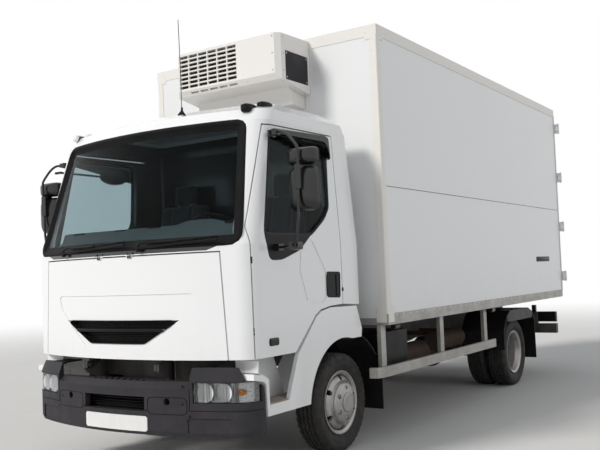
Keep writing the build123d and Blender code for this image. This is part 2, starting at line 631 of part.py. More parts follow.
def cab():
    """Cab shell, doors, roof, windscreen and front hatch, all cut from one hollow form."""
    outer = cab_loft(CAB_LEVELS, 0)
    inner = cab_loft([(CAB_LEVELS[0][0] - 1,) + CAB_LEVELS[0][1:], CAB_LEVELS[1],
                      (CAB_LEVELS[2][0] + 1,) + CAB_LEVELS[2][1:]], CAB_WALL)
    shell = outer - inner
    door_side = side_plate(DOOR_OUTLINE, DOOR_X0, CAB_HALF + 50)
    door_hole = side_plate(grown(DOOR_OUTLINE, SEAM), DOOR_X0 - SEAM, CAB_HALF + 50)
    window = side_plate(WINDOW_OUTLINE, 0, CAB_HALF + 50)
    window = fillet(window.edges().filter_by(Axis.X), 28)
    low_rear = side_plate([(-690, CAB_Z0 - 10), (-415, 1075), (-345, 1108), (-210, 1128), (DOOR_REAR_Y, 1134),
                           (180, 1120), (400, 1120), (400, CAB_Z0 - 10)], -CAB_HALF - 50, CAB_HALF + 50)
    door = door_relief((shell & door_side) - window)
    low, belt, high = CAB_LEVELS
    inner_levels = [(low[0] - 1,) + low[1:], belt, (high[0] + 1,) + high[1:]]
    glass_skin = cab_loft(CAB_LEVELS, 14) - cab_loft(inner_levels, 14 + GLASS_T)
    pane = side_plate(grown(WINDOW_OUTLINE, -SEAT), 0, CAB_HALF + 50)
    pane = fillet(pane.edges().filter_by(Axis.X), 28)
    glass = glass_skin & pane
    hatch = (shell & hatch_prism(0)) - front_plate([(-1100, 0), (1100, 0), (1100, CAB_Z0), (-1100, CAB_Z0)],
                                                   -1500, -1100)
    hatch = (hatch - shield()) - grille_hole()
    for x in HATCH_EYE_X:
        hatch = hatch + hatch_eye(x)
    shell = shell - both(door_hole) - low_rear - windscreen_cut(0) - hatch_prism(SEAM)
    shell = shell + cab_floor()
    for x in HATCH_EYE_X:
        shell = (shell - hatch_notch(x)) + hatch_pin(x)
    for z in HINGE_Z:
        shell = shell + both(door_lug(z))
        door = door - hinge_pocket(z)
    keep("cab_body", shell)
    for tag, piece in (("left", door), ("right", other_side(door))):
        keep(f"door_{tag}", piece)
    for tag, piece in (("left", glass), ("right", other_side(glass))):
        keep(f"door_glass_{tag}", piece)
    keep("windscreen", glass_skin & windscreen_cut(SEAT))
    keep("front_hatch", hatch)
    roof = cab_loft(ROOF_LEVELS, 0)
    hollow = cab_loft([(ROOF_LEVELS[0][0] - 1,) + ROOF_LEVELS[0][1:],
                       (ROOF_LEVELS[1][0] - 35,) + ROOF_LEVELS[1][1:],
                       (ROOF_LEVELS[2][0] - 35,) + ROOF_LEVELS[2][1:]], CAB_WALL)
    roof = roof - hollow
    for x, y, z in ROOF_LAMPS:
        roof = roof + both(roof_lamp(x, y, z))
    roof = roof + Pos(*AERIAL) * Cone(26, 12, 30)
    keep("cab_roof", Pos(0, 0, SEAT) * roof)


def roof_lamp(x, y, z):
    """Low lamp with rounded ends, lying along the roof's edge."""
    lamp = block(x - 30, x + 30, y - 62, y + 62, z - 34, z + 22)
    return fillet(lamp.edges(), 20)


def shield():
    """Shallow field round the air inlet, with its two slanted sides."""
    left = [(640, 1275), (668, 1262), (640, 1180), (330, 918)]
    field = front_plate(left + [(-x, z) for x, z in reversed(left)], -1500, -1100)
    levels = [(z, front + SHIELD_T, half, rear) for z, front, half, rear in CAB_LEVELS]
    return field - cab_loft(levels, 0)


def grille_hole():
    """Air inlet in the hatch, with a bar left across it."""
    top, bottom, z0, z1, bar = 552, 262, 940, 1098, 1030
    hole = front_plate([(-bottom, z0), (bottom, z0), (top, z1), (-top, z1)], -1500, -1100)
    return hole - block(-600, 600, -1500, -1100, bar - 9, bar + 9)


def cab_floor():
    """Flat floor with the engine tunnel between the seats."""
    half = CAB_HALF - CAB_WALL - 20
    floor = block(-half, half, FIREWALL_Y0, CAB_REAR - 30, FLOOR_Z0, FLOOR_Z1)
    way = TUNNEL_HALF - 30
    floor = floor - block(-way, way, -1100, CAB_REAR - 80, FLOOR_Z0 - 5, FLOOR_Z1 + 5)
    tunnel = block(-TUNNEL_HALF, TUNNEL_HALF, -1130, CAB_REAR - 30, FLOOR_Z0, TUNNEL_Z)
    tunnel = tunnel - block(-way, way, -1100, CAB_REAR + 10, FLOOR_Z0 - 5, TUNNEL_Z - 30)
    wall = block(-half, half, FIREWALL_Y0, FIREWALL_Y1, CAB_Z0 + 10, BELT_Z - 10)
    door_side = side_plate(grown(DOOR_OUTLINE, SEAM), HINGE_PIN_X - 90, CAB_HALF + 50)
    lug = side_plate([(PIVOT_Y - 24, PIVOT_Z + 20), (PIVOT_Y - 24, PIVOT_Z - 22), (PIVOT_Y + 24, PIVOT_Z - 24),
                      (FIREWALL_Y1, CAB_Z0 + 10), (FIREWALL_Y1, CAB_Z0 + 60), (FIREWALL_Y0, CAB_Z0 + 60),
                      (FIREWALL_Y0 - 95, PIVOT_Z + 38)], LUG_X0, LUG_X1)
    lug = lug - rod((LUG_X0 - 5, PIVOT_Y, PIVOT_Z), (LUG_X1 + 5, PIVOT_Y, PIVOT_Z), 14 + RUN / 2)
    return fuse([floor, tunnel, wall]) - both(door_side) + both(lug)


def steps():
    """Wheel arch panel, entrance step and its back panel, one on each side of the cab."""
    x1 = CAB_HALF
    x0 = CAB_HALF - 30
    panel = side_plate([(-800, 500), (-660, 815), (-402, 1062), (-335, 1096), (-205, 1116), (180, 1108),
                        (240, 960), (252, 925), (230, 800), (-100, 447), (-800, 447)], x0, x1)
    panel = panel - rod((x0 - 5, ARCH_Y, AXLE_Z), (x1 + 5, ARCH_Y, AXLE_Z), ARCH_R)
    panel = panel - block(x0 - 5, x1 + 5, ARCH_Y, 400, 300, 860)
    liner = rod((720, ARCH_Y, AXLE_Z), (x1 - 1, ARCH_Y, AXLE_Z), ARCH_R + 14, ARCH_R)
    liner = liner - block(700, x1 + 5, ARCH_Y + 130, 700, 0, 1200) - block(700, x1 + 5, -900, 700, -200, 470)
    skirt = side_plate([(-1040, 447), (-560, 447), (-640, 505), (-1020, 505)], x0, x1)
    tread = block(x1 - 192, x1, -1010, -540, 500, 520)
    tread = tread - rod((800, ARCH_Y, AXLE_Z), (x1 + 5, ARCH_Y, AXLE_Z), ARCH_R + 4)
    back = side_plate([(-1010, 447), (-560, 447), (-600, 600), (-690, 790), (-690, FLOOR_Z0 - SEAT),
                       (-1110, FLOOR_Z0 - SEAT), (-1110, 740), (-1040, 700)], x1 - 204, x1 - 192)
    front = side_plate([(-1040, 447), (-1015, 505), (-1018, 690), (-1075, 722), (-1180, 740), (-1185, 700),
                        (-1075, 680), (-1050, 660)], x1 - 192, x1)
    top = CAB_Z0 - SEAM - 6
    bracket = [(-1018, 500), (-1018, 690), (-1075, 722), (-1110, 740), (-1110, top), (-1098, top), (-1098, 740),
               (-1005, 690), (-1005, 500)]
    front = front + side_plate(bracket, x1 - 202, x1 - 20)
    stay = block(760, 930, ARCH_Y - 60, ARCH_Y + 60, AXLE_Z + ARCH_R - 6, FLOOR_Z0 - SEAT)
    stay = stay - rod((700, ARCH_Y, AXLE_Z), (x1, ARCH_Y, AXLE_Z), ARCH_R + 7)
    whole = fuse([panel, liner, skirt, tread, back, front, stay])
    keep("steps", whole, other_side(whole))


def bumper_plan(z, inset):
    """Plan of the bumper's face at a height, moved inwards."""
    return plan_face(z, FRONT_Y + inset, BUMPER_HALF - inset, BUMPER_REAR + 400, BUMPER_CORNER - inset, 1,
                     BUMPER_R - inset)


def bumper_form(levels):
    """Solid through a list of (height, inset) plans."""
    form = None
    for (za, a), (zb, b) in zip(levels[:-1], levels[1:]):
        piece = loft([bumper_plan(za, a), bumper_plan(zb, b)], ruled=True)
        form = piece if form is None else form + piece
    return form


def bumper_skin(depth):
    """Layer of the bumper's face down to a depth, for grooves and shallow recesses."""
    return extrude(bumper_plan(0, -20), 900) - extrude(bumper_plan(-5, depth), 910)


def bumper_grooves():
    """Seams between the lamp modules, the middle step and the lower band."""
    z, w = BUMPER_SEAM_Z, GROOVE / 2
    level = block(BUMPER_MID_HALF - w, 1200, -1500, BUMPER_REAR + 50, z - w, z + w)
    upright = block(BUMPER_MID_HALF - w, BUMPER_MID_HALF + w, -1500, -1200, z - w, 900)
    x0, x1, z0, z1 = TOW_COVER
    frame = []
    for gap in (w, -w):
        plate = block(x0 - gap, x1 + gap, -1500, -1200, z0 - gap, z1 + gap)
        frame.append(fillet(plate.edges().filter_by(Axis.Y), 34 + gap))
    return bumper_skin(GROOVE) & (level + upright + (frame[0] - frame[1]))


def bumper():
    """Moulded bumper: hollow behind, with a low middle step, lamp pockets and an air inlet."""
    z0, z1 = BUMPER_Z0, BUMPER_Z1
    mid_z, mid_half = BUMPER_MID_Z, BUMPER_MID_HALF
    half, rear = BUMPER_HALF, BUMPER_REAR
    skin = BUMPER_SKIN
    sides_form = bumper_form([(z0, 14), (z0 + 30, 0), (LAMP_POCKET[3] + 12, 0), (z1, 34)])
    middle_form = bumper_form([(z0, 14), (z0 + 30, 0), (mid_z - 42, 0), (mid_z, 44)])
    middle = block(-mid_half, mid_half, -1500, rear + 50, 0, 900)
    outer = (sides_form - middle) + (middle_form & middle)
    outer = outer - block(-1200, 1200, rear, rear + 500, 0, 900)
    hollow = extrude(plan_face(0, FRONT_Y + skin, half - skin, rear + 400, 150, 1, BUMPER_R - 40), 900)
    low = hollow & block(-mid_half + 12, mid_half - 12, -1500, rear + 50, 200, mid_z - 14)
    sides = both(hollow & block(mid_half - 14, 1200, -1500, rear + 50, 200, z1 - 14))
    shell = outer - low - sides
    inlet = front_plate([(-290, 492), (290, 492), (290, 590), (-290, 590)], -1500, -1300)
    shell = shell - inlet
    lamp = LAMP_POCKET
    x0, x1 = lamp[0], lamp[1] + 60
    pocket = front_plate([(x0, lamp[2]), (x1, lamp[2]), (x1, lamp[3]), (x0, lamp[3])],
                         -1500, -1050)
    shell = shell - both(pocket & block(0, 1200, -1500, -1090, 0, 900))
    shell = shell - both(rod((TOW_X, -1500, TOW_Z), (TOW_X, -1200, TOW_Z), TOW_R))
    shell = shell - block(-700, 700, -1260, rear + 60, 0, 900)
    shell = shell - both(bumper_end()) - both(bumper_grooves())
    fog = block(FOG_BLANK[0], FOG_BLANK[1], -1500, -1100, FOG_BLANK[2], FOG_BLANK[3])
    shell = shell - both(fillet(fog.edges().filter_by(Axis.Y), 14) & bumper_skin(8))
    tow_end = TOW_MOUTH_Y + TOW_DEPTH
    arm = block(RAIL_X - 60, RAIL_X - 20, tow_end, RAIL_Y0 - SEAT, 580, 654)
    beam = block(RAIL_X - 60, TOW_X + TOW_EDGE, TOW_MOUTH_Y, tow_end, TOW_Z - 32, 654)
    beam = beam - rod((TOW_X, TOW_MOUTH_Y - 5, TOW_Z), (TOW_X, tow_end + 5, TOW_Z), TOW_PIN_R)
    keep("bumper", shell, both(arm + beam))


def bumper_end():
    """Space that the cab's front flange takes beside the bumper."""
    return side_plate([(-1198, 900), (-1198, 688), (-1085, 664), (-1064, 640), (-1052, 300), (-600, 300),
                       (-600, 900)],
                      CAB_HALF - 217, CAB_HALF + 200)


def headlamps():
    """Lamp blocks in the bumper's pockets: head lamp and the turn lamp round the corner."""
    x0, x1, z0, z1 = LAMP_POCKET
    outer = plan_face(z0 + SEAT, FRONT_Y + 6, BUMPER_HALF - 6, -650, 184, 1, BUMPER_R - 6)
    body = extrude(outer, z1 - z0 - 2 * SEAT)
    body = body & block(x0 + SEAT, 1200, -1500, -1100, 0, 900)
    inner = plan_face(z0 - 5, FRONT_Y + 60, BUMPER_HALF - 60, -650, 140, 1, BUMPER_R - 60)
    body = body - extrude(inner, z1 - z0 + 20)
    body = body - bumper_end()
    keep("headlamps", body, other_side(body))


def side_guards():
    """Guard rail along each side, bent in at its front, on three posts."""
    x0, x1 = BOX_HALF - 60, BOX_HALF - 28
    rail = block(x0, x1, 400, 2892, 522, 604)
    nose = flat_plate([(x0, 400), (x1, 400), (x1 - 26, 315), (x0 - 62, 298), (x0 - 62, 330), (x0 - 18, 342)],
                      522, 604)
    guard = rail + nose
    for y in (440, 1590, 2690):
        guard = guard + block(x0 - 34, x0, y - 40, y + 40, 522, BOTTOM_RAIL_Z0 - SEAT)
    keep("side_guards", guard, other_side(guard))


def mudguards():
    """Rear mudguards over the twins with flaps, and the flaps behind the front wheels."""
    x0, x1 = TWIN_IN - 119, TWIN_OUT + 135
    y = WHEELBASE
    path = [(-425, 440), (-425, 640), (-300, 800), (-200, 850), (420, 850), (560, 800), (640, 700),
            (650, 240)]
    t = 8
    inner = [(a, b) for a, b in path]
    outer = [(a + (-t if a < 0 else t), b + t) for a, b in path]
    outer[0] = (path[0][0] - t, path[0][1])
    outer[-1] = (path[-1][0] + t, path[-1][1])
    pts = [(y + a, b) for a, b in inner] + [(y + a, b) for a, b in reversed(outer)]
    sheet = side_plate(pts, x0, x1)
    lip = side_plate([(y - 300, 740), (y - 200, 735), (y + 420, 735), (y + 560, 735), (y + 560, 800),
                      (y + 420, 850), (y - 200, 850), (y - 300, 800)], x1 - t, x1)
    arms = [block(RAIL_X - 5 + SEAT, x0 + 40, y + a - 20, y + a + 20, 858, 898) for a in (-180, 380)]
    arms = arms + [block(x0, x0 + 40, y + a - 20, y + a + 20, 850, 898) for a in (-180, 380)]
    rear = fuse([sheet, lip] + arms)
    flap = block(700, 1090, 500, 510, 250, 640)
    flap = flap + block(RAIL_X + SEAT, 1090, 500, 540, 640, 690)
    guard = [(266, 856), (350, 812), (440, 736), (500, 660)]
    band = guard + [(a + 8, b + 6) for a, b in reversed(guard)]
    flap = flap + side_plate(band, 720, 1050)
    keep("mudguards", both(rear), both(flap))


def underrun():
    """Rear underrun bar on two legs, with the lamp panels beside it."""
    bar = block(-1150, 1150, 5180, 5260, 470, 590)
    legs = both(block(360, RAIL_X + 40, 5180, 5225, 590, RAIL_Z0 - SEAT))
    legs = legs + both(block(RAIL_X + SEAT, RAIL_X + 40, 5080, 5225, 590, 800))
    lamps = both(block(760, 1130, 5262, 5310, 610, 740))
    lamps = lamps + both(block(860, 900, 5200, 5262, 560, 740))
    keep("underrun_bar", fuse([bar, legs, lamps]))


def cargo_box():
    """Insulated panels of the box with their posts and rails."""
    y0, y1 = BOX_Y0, BOX_Y1
    z_floor = BOX_Z0
    z_top = BOX_Z1 - 4
    x_out = BOX_HALF - PANEL_IN
    x_in = BOX_HALF - WALL
    roof_z0 = z_top - ROOF_T
    floor = block(-x_in, x_in, y0 + WALL, y1 - 2, z_floor, z_floor + FLOOR_T)
    keep("box_floor", floor)
    keep("box_front", block(-x_in, x_in, y0 + 4, y0 + WALL - SEAT, z_floor, roof_z0 - SEAT))
    side = block(x_in + SEAT, x_out, y0 + 4, y1 - 2, BOTTOM_RAIL_Z1 + SEAT, roof_z0 - SEAT)
    keep("box_left", side)
    keep("box_right", other_side(side))
    keep("box_roof", block(-x_out, x_out, y0 + 4, y1 - 2, roof_z0, z_top))
    post = Pos(0, 0, BOTTOM_RAIL_Z1) * extrude(Plane.XY * corner_angle(), z_top - 40 - BOTTOM_RAIL_Z1)
    top_rail = block(x_out + SEAT, BOX_HALF, y0, y1 - 2, roof_z0 - 6, BOX_Z1)
    top_rail = top_rail + block(BOX_HALF - 60, BOX_HALF, y0, y1 - 2, z_top + SEAT, BOX_Z1)
    front_rail = block(-BOX_HALF, BOX_HALF, y0, y0 + 3.7, roof_z0 - 6, BOX_Z1)
    keep("box_trim", fuse([both(post), both(top_rail), front_rail]))
    low_rail = block(x_in + 40, BOX_HALF, y0, y1 - 2, BOTTOM_RAIL_Z0, BOTTOM_RAIL_Z1)
    low_front = block(-x_in - 45, x_in + 45, y0, y0 + 40, BOTTOM_RAIL_Z0, z_floor - SEAT)
    keep("box_bottom_rails", fuse([both(low_rail), low_front]))


def corner_angle():
    """Section of a front corner post, an angle round the panels' corner."""
    x, y = BOX_HALF, BOX_Y0
    t = PANEL_IN - SEAT
    leg = Polyline((x - POST, y), (x, y), (x, y + POST), (x - t, y + POST), (x - t, y + 3.7), (x - POST, y + 3.7),
                   close=True)
    angle = make_face(leg)
    corner = angle.vertices().sort_by(lambda v: v.X - v.Y)[-1]
    return fillet(corner, POST_CORNER)


def rear_frame():
    """Steel portal round the rear doors, with the fixed halves of the hinges."""
    y0, y1 = BOX_Y1 - 2 + SEAT, BOX_Y1 + PORTAL_OUT
    post = block(BOX_HALF - 75, BOX_HALF, y0, y1, BOTTOM_RAIL_Z0, BOX_Z1)
    inner = BOX_HALF - 75 - SEAT
    head = block(-inner, inner, y0, y1, BOX_Z1 - 90, BOX_Z1)
    sill = block(-inner, inner, y0, y1, BOTTOM_RAIL_Z0, BOX_Z0 + FLOOR_T)
    pieces = [post]
    bend_y = HINGE_Y - 26
    arm_x = LEAF_X1 + 6.5
    for z in HINGE_LEVELS:
        strap = block(arm_x, BOX_HALF, y1 - 4, bend_y, z - 30, z + 30)
        strap = strap + flat_plate([(arm_x, bend_y), (BOX_HALF, bend_y), (HINGE_X, HINGE_Y - 14),
                                    (HINGE_X, HINGE_Y + 8), (HINGE_X - 14, HINGE_Y)], z - 30, z + 30)
        pin = rod((HINGE_X, HINGE_Y, z - 30), (HINGE_X, HINGE_Y, z + 30), HINGE_R)
        pin = pin + rod((HINGE_X, HINGE_Y, z - 70), (HINGE_X, HINGE_Y, z + 70), 6)
        pieces.append(strap + pin)
    keep("rear_frame", both(fuse(pieces)), head, sill)


def rear_door(side, tag):
    """One leaf with its moving hinge halves and a lock bar."""
    y1 = LEAF_Y0 + LEAF_T
    leaf = block(LEAF_HALF_GAP, LEAF_X1, LEAF_Y0, y1, LEAF_Z0, LEAF_Z1)
    pieces = [leaf]
    for z in HINGE_LEVELS:
        for z0, z1 in ((z - 62, z - 31), (z + 31, z + 62)):
            eye = rod((HINGE_X, HINGE_Y, z0), (HINGE_X, HINGE_Y, z1), HINGE_R)
            web = flat_plate([(LEAF_X1 - 110, y1 - 1), (LEAF_X1 - 2, y1 - 1), (HINGE_X, HINGE_Y - 12),
                              (HINGE_X, HINGE_Y + 6), (LEAF_X1 - 110, y1 + 9)], z0, z1)
            bore = rod((HINGE_X, HINGE_Y, z0 - 2), (HINGE_X, HINGE_Y, z1 + 2), 6 + RUN)
            pieces.append((eye + web) - bore)
    bar_x = 300.0
    pieces.append(rod((bar_x, y1 + 14, LEAF_Z0 + 10), (bar_x, y1 + 14, LEAF_Z1 - 10), 12))
    for z in (LEAF_Z0 + 60, 1650, 2200, 2750, LEAF_Z1 - 60):
        pieces.append(block(bar_x - 25, bar_x + 25, y1 - 1, y1 + 20, z - 20, z + 20))
    whole = fuse(pieces)
    keep(f"rear_door_{tag}", whole if side > 0 else other_side(whole))


def cooling_unit():
    """Nose-mounted cooling unit: a hollow housing with slots in front, and the duct foot below."""
    y1 = BOX_Y0 - SEAT
    bevel_z, bevel_y = 2967.0, 0.0
    foot_z = 2897.0
    outline = [(UNIT_Y0, UNIT_Z1), (UNIT_Y0, UNIT_Z0), (bevel_y, bevel_z), (y1, foot_z), (y1, UNIT_Z1 + 12)]
    housing = side_plate(outline, -UNIT_HALF, UNIT_HALF)
    front_corners = housing.edges().filter_by(Axis.Z).group_by(Axis.Y)[0]
    housing = chamfer(front_corners, UNIT_CORNER)
    y0, y1_side, z0, z1_side = UNIT_OUTLET
    housing = housing - block(UNIT_HALF - 6, UNIT_HALF + 5, y0, y1_side, z0, z1_side)
    s = UNIT_SKIN
    inner = [(UNIT_Y0 + s, UNIT_Z1 - s), (UNIT_Y0 + s, UNIT_Z0 + 6), (bevel_y + s, bevel_z + s),
             (y1 + 5, foot_z + s), (y1 + 5, UNIT_Z1 - s)]
    cavity = side_plate(inner, -UNIT_HALF + s, UNIT_HALF - s)
    housing = housing - chamfer(cavity.edges().filter_by(Axis.Z).group_by(Axis.Y)[0], UNIT_CORNER)
    x_first, x_last = 0 - UNIT_HALF + UNIT_CORNER + 4, 128.0
    z_first, z_last = 3026.0, 3328.0
    columns, rows = 6, 8
    pitch_x = (x_last - x_first) / columns
    pitch_z = (z_last - z_first) / rows
    slots = []
    for i in range(columns):
        for j in range(rows):
            a, b = x_first + i * pitch_x, z_first + j * pitch_z
            slots.append(block(a + 5, a + pitch_x - 5, UNIT_Y0 - 5, UNIT_Y0 + s + 5, b + 6, b + pitch_z - 6))
    for i in range(5):
        a = x_first + (i + 1) * pitch_x
        slots.append(block(a + 8, a + pitch_x - 12, UNIT_Y0 - 5, bevel_y + 6, bevel_z + 16, bevel_z + 32))
    for j in range(rows):
        b = z_first + j * pitch_z
        slots.append(Pos(-UNIT_HALF + UNIT_CORNER / 2, UNIT_Y0 + UNIT_CORNER / 2, b + pitch_z / 2)
                     * Rot(0, 0, -45) * Box(34, 60, pitch_z - 12))
    housing = housing - Compound(slots)
    foot_low = [(y1 - 240, foot_z + 40), (y1 - 190, 2800), (y1 - 20, 2785), (y1, 2785), (y1, foot_z + 4)]
    foot = side_plate(foot_low,
                      -UNIT_HALF + 60, UNIT_HALF - 60)
    keep("cooling_unit", housing + foot)


def evaporator():
    """Air cooler under the box's ceiling, behind its front wall."""
    y0 = BOX_Y0 + WALL + SEAT
    top = BOX_Z1 - 4 - ROOF_T - SEAT
    case = [(y0, top), (y0, top - 260), (y0 + 120, top - 300), (y0 + 430, top - 200), (y0 + 430, top)]
    body = side_plate(case,
                      -520, 520)
    keep("evaporator", body)


def interior():
    """Dashboard, seats and steering wheel."""
    half = CAB_HALF - CAB_WALL - 12
    y0 = -1127 + SEAT
    dash = side_plate([(y0, 1000), (y0, 1545), (-1040, 1560), (-860, 1520), (-800, 1440), (-860, 1200),
                       (-1000, 1000)], -half + 60, half - 60)
    dash = dash - block(-TUNNEL_HALF - SEAT, TUNNEL_HALF + SEAT, -1200, 0, 900, TUNNEL_Z + SEAT)
    dash = dash & cab_loft(CAB_LEVELS, CAB_WALL + SEAT)
    seats = []
    for x, w in ((520, 250), (-560, 300)):
        if x > 0:
            base = block(TUNNEL_HALF + SEAT, x + w - 50, -520, -100, FLOOR_Z1 + SEAT, TUNNEL_Z + 20)
        else:
            base = block(x - w + 50, -TUNNEL_HALF - SEAT, -520, -100, FLOOR_Z1 + SEAT, TUNNEL_Z + 20)
        cushion = block(x - w, x + w, -600, -60, TUNNEL_Z + 20, TUNNEL_Z + 150)
        low_z = TUNNEL_Z + 100
        back = side_plate([(-130, low_z + 20), (-40, low_z), (90, 2020), (0, 2040)], x - w, x + w)
        head = side_plate([(2, 2010), (82, 2000), (105, 2200), (35, 2210)], x - 130, x + 130)
        seats.append(fuse([base, cushion, back, head]))
    keep("seats", *seats)
    hub = Vector(500, -760, 1700)
    tilt = Rot(-35, 0, 0)
    ring = Pos(hub.X, hub.Y, hub.Z) * tilt * Torus(215, 15)
    boss = Pos(hub.X, hub.Y, hub.Z) * tilt * Pos(0, 0, -30) * Cylinder(55, 40)
    spokes = Pos(hub.X, hub.Y, hub.Z) * tilt * Pos(0, 0, -12) * (Box(420, 36, 14) + Box(36, 420, 14))
    column = Pos(hub.X, hub.Y, hub.Z) * tilt * Pos(0, 0, -190) * Cylinder(28, 300)
    keep("steering_wheel", fuse([ring, boss, spokes, column]))
    keep("dashboard", dash - Pos(hub.X, hub.Y, hub.Z) * tilt * Pos(0, 0, -190) * Cylinder(28 + SEAT, 330))


def cab_side(z):
    """Half width of the cab at a height above the windscreen's foot."""
    return CAB_HALF + (CAB_HALF_TOP - CAB_HALF) * (z - BELT_Z) / (ROOF_Z0 - BELT_Z)


def kerb_mirror():
    """Oval mirror that looks down beside the kerb, on a stalk from the wide mirror's arm."""
    y0, y1, z0, z1 = KERB_MIRROR
    x0, mid_y, mid_z = MIRROR[0] - 60, (y0 + y1) / 2, (z0 + z1) / 2
    face = Plane(origin=(x0, mid_y, mid_z), x_dir=(0, 1, 0), z_dir=(1, 0, 0))
    oval = face * Ellipse((y1 - y0) / 2, (z1 - z0) / 2)
    stalk = rod((x0 + 30, MIRROR[3] - 40, mid_z), (x0 + 30, mid_y, mid_z), 9)
    y2 = MIRROR[3] - 30
    link = block(x0 + 20, MIRROR[0] + 30, y2 - 20, y2, mid_z - 9, mid_z + 9)
    return extrude(oval, 62) + stalk + link


def mirrors(side, tag):
    """Main and wide mirror housings on their arm, held at the door's window frame and lower panel."""
    x0, x1, y0, y1 = MIRROR
    bar = [(1032, -855, 2345), (x0 + 10, -855, 2318), (x0 + 45, -855, 2240), (x0 + 45, -855, 1760),
           (x0 + 5, -855, 1640), (1072, -855, 1570)]
    arm = bent_rod(bar, 10, 30)
    z0, z1 = 2325, 2365
    top_foot = front_plate([(cab_side(z0) + SEAT, z0), (1048, z0), (1048, z1), (cab_side(z1) + SEAT, z1)],
                           -880, -830)
    low_foot = block(CAB_HALF + SEAT, 1084, -905, -790, 1535, 1588)
    main = block(x0, x1, y0, y1, 1775, 2105)
    main = fillet(main.edges(), 34)
    wide = block(x0, x1, y0, y1, 2118, 2275)
    wide = fillet(wide.edges(), 34)
    pieces = [arm, top_foot, low_foot, main, wide]
    if side < 0:
        pieces.append(kerb_mirror())
    whole = fuse(pieces)
    keep(f"mirror_{tag}", whole if side > 0 else other_side(whole))


def trim():
    """Wipers in front of the windscreen, roof lamps and the aerial's foot."""
    arms = []
    for x0, x1 in ((-560, 130), (250, 860)):
        y = CAB_FRONT_BELT - WIPER_OUT
        arms.append(fuse([rod((x0, y + crown(x0), BELT_Z + 6), (x1, y + crown(x1) + 6, BELT_Z + 34), 8),
                          rod((x0, y + crown(x0), BELT_Z + 6), (x0, y + crown(x0) + WIPER_OUT - 1.6, BELT_Z + 6), 14)]))
    keep("wipers", *arms)


def crown(x):
    """How far the front falls back at a distance from its middle."""
    return CROWN_R - sqrt(CROWN_R ** 2 - x * x)


def build():
    for side, tag in ((1, "left"), (-1, "right")):
        wheel_set(side, tag)
        knuckle(side, tag)
        mirrors(side, tag)
        rear_door(side, tag)
    tie_rod()
    front_axle()
    rear_axle()
    springs()
    frame_rails()
    box_bearers()
    engine()
    driveline()
    exhaust()
    fuel_tank()
    battery_box()
    air_tanks()
    cab()
    steps()
    bumper()
    headlamps()
    side_guards()
    mudguards()
    underrun()
    cargo_box()
    rear_frame()
    cooling_unit()
    evaporator()
    interior()
    trim()


build()
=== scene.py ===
"""Looks of the refrigerated truck: finishes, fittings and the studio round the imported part.

Places on the truck are in millimetres from the front axle line on the ground: +X is the truck's
left side, -Y its front, +Z up. at() turns them into the frame's metres.
"""
from functools import partial, reduce
from math import copysign, cos, exp, pi, radians, sin, sqrt

import bpy
import bmesh
from mathutils import Matrix, Vector
from mathutils.bvhtree import BVHTree
from mathutils.geometry import convex_hull_2d
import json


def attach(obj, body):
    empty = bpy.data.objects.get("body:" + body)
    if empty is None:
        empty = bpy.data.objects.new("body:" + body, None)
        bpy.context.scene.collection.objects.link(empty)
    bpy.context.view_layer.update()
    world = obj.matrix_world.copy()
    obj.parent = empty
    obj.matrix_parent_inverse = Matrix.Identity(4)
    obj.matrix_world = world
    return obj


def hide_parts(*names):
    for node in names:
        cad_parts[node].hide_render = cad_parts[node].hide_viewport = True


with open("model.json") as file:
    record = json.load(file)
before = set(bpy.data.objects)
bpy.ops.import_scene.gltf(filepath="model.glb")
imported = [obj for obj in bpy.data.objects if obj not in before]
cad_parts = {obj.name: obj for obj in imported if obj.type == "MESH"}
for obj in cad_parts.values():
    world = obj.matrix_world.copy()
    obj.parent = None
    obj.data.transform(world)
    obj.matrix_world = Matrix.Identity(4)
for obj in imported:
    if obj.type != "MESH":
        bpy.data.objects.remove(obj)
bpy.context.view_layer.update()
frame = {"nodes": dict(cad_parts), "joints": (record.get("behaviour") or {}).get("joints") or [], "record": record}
NODES = frame["nodes"]
JOINT_PLACE = {joint["name"]: joint["pos_m"] for joint in frame["joints"]}
AXLE_Y = JOINT_PLACE["steering_left"][1]
AXLE_Z = JOINT_PLACE["steering_left"][2] * 1000
REAR_AXLE_Y = (JOINT_PLACE["rear_wheels_left_spin"][1] - AXLE_Y) * 1000
SIDES = (1, -1)      # left and right
UP, DOWN, AHEAD, BACK, OUT = (0, 0, 1), (0, 0, -1), (0, -1, 0), (0, 1, 0), (1, 0, 0)


def at(x, y, z):
    return Vector((x / 1000, AXLE_Y + y / 1000, z / 1000))


def placed(name, data):
    """New object in the scene."""
    made = bpy.data.objects.new(name, data)
    bpy.context.scene.collection.objects.link(made)
    return made


# Camera, from the photograph's perspective; the turns are yaw, pitch and roll in degrees
CAMERA_AT = (4240, -5351, 1389)
CAMERA_TURNS = (33.48, 2.39, -2.28)
CAMERA_LENS, CAMERA_SENSOR, CAMERA_REACH = 48.41, 36, 300
CAMERA_SHIFT = (-0.00475, 0.02187)


def make_camera():
    yaw, pitch, roll = (radians(turn) for turn in CAMERA_TURNS)
    forward = Vector((-sin(yaw) * cos(pitch), cos(yaw) * cos(pitch), sin(pitch)))
    level = Vector((cos(yaw), sin(yaw), 0))
    above = level.cross(forward)
    right = level * cos(roll) + above * sin(roll)
    up = above * cos(roll) - level * sin(roll)
    data = bpy.data.cameras.new("camera")
    data.lens = CAMERA_LENS
    data.sensor_width = CAMERA_SENSOR
    data.shift_x, data.shift_y = CAMERA_SHIFT
    data.clip_end = CAMERA_REACH
    camera = placed("camera", data)
    turn = Matrix((right, up, -forward)).transposed().to_4x4()
    camera.matrix_world = Matrix.Translation(at(*CAMERA_AT)) @ turn
    bpy.context.scene.camera = camera


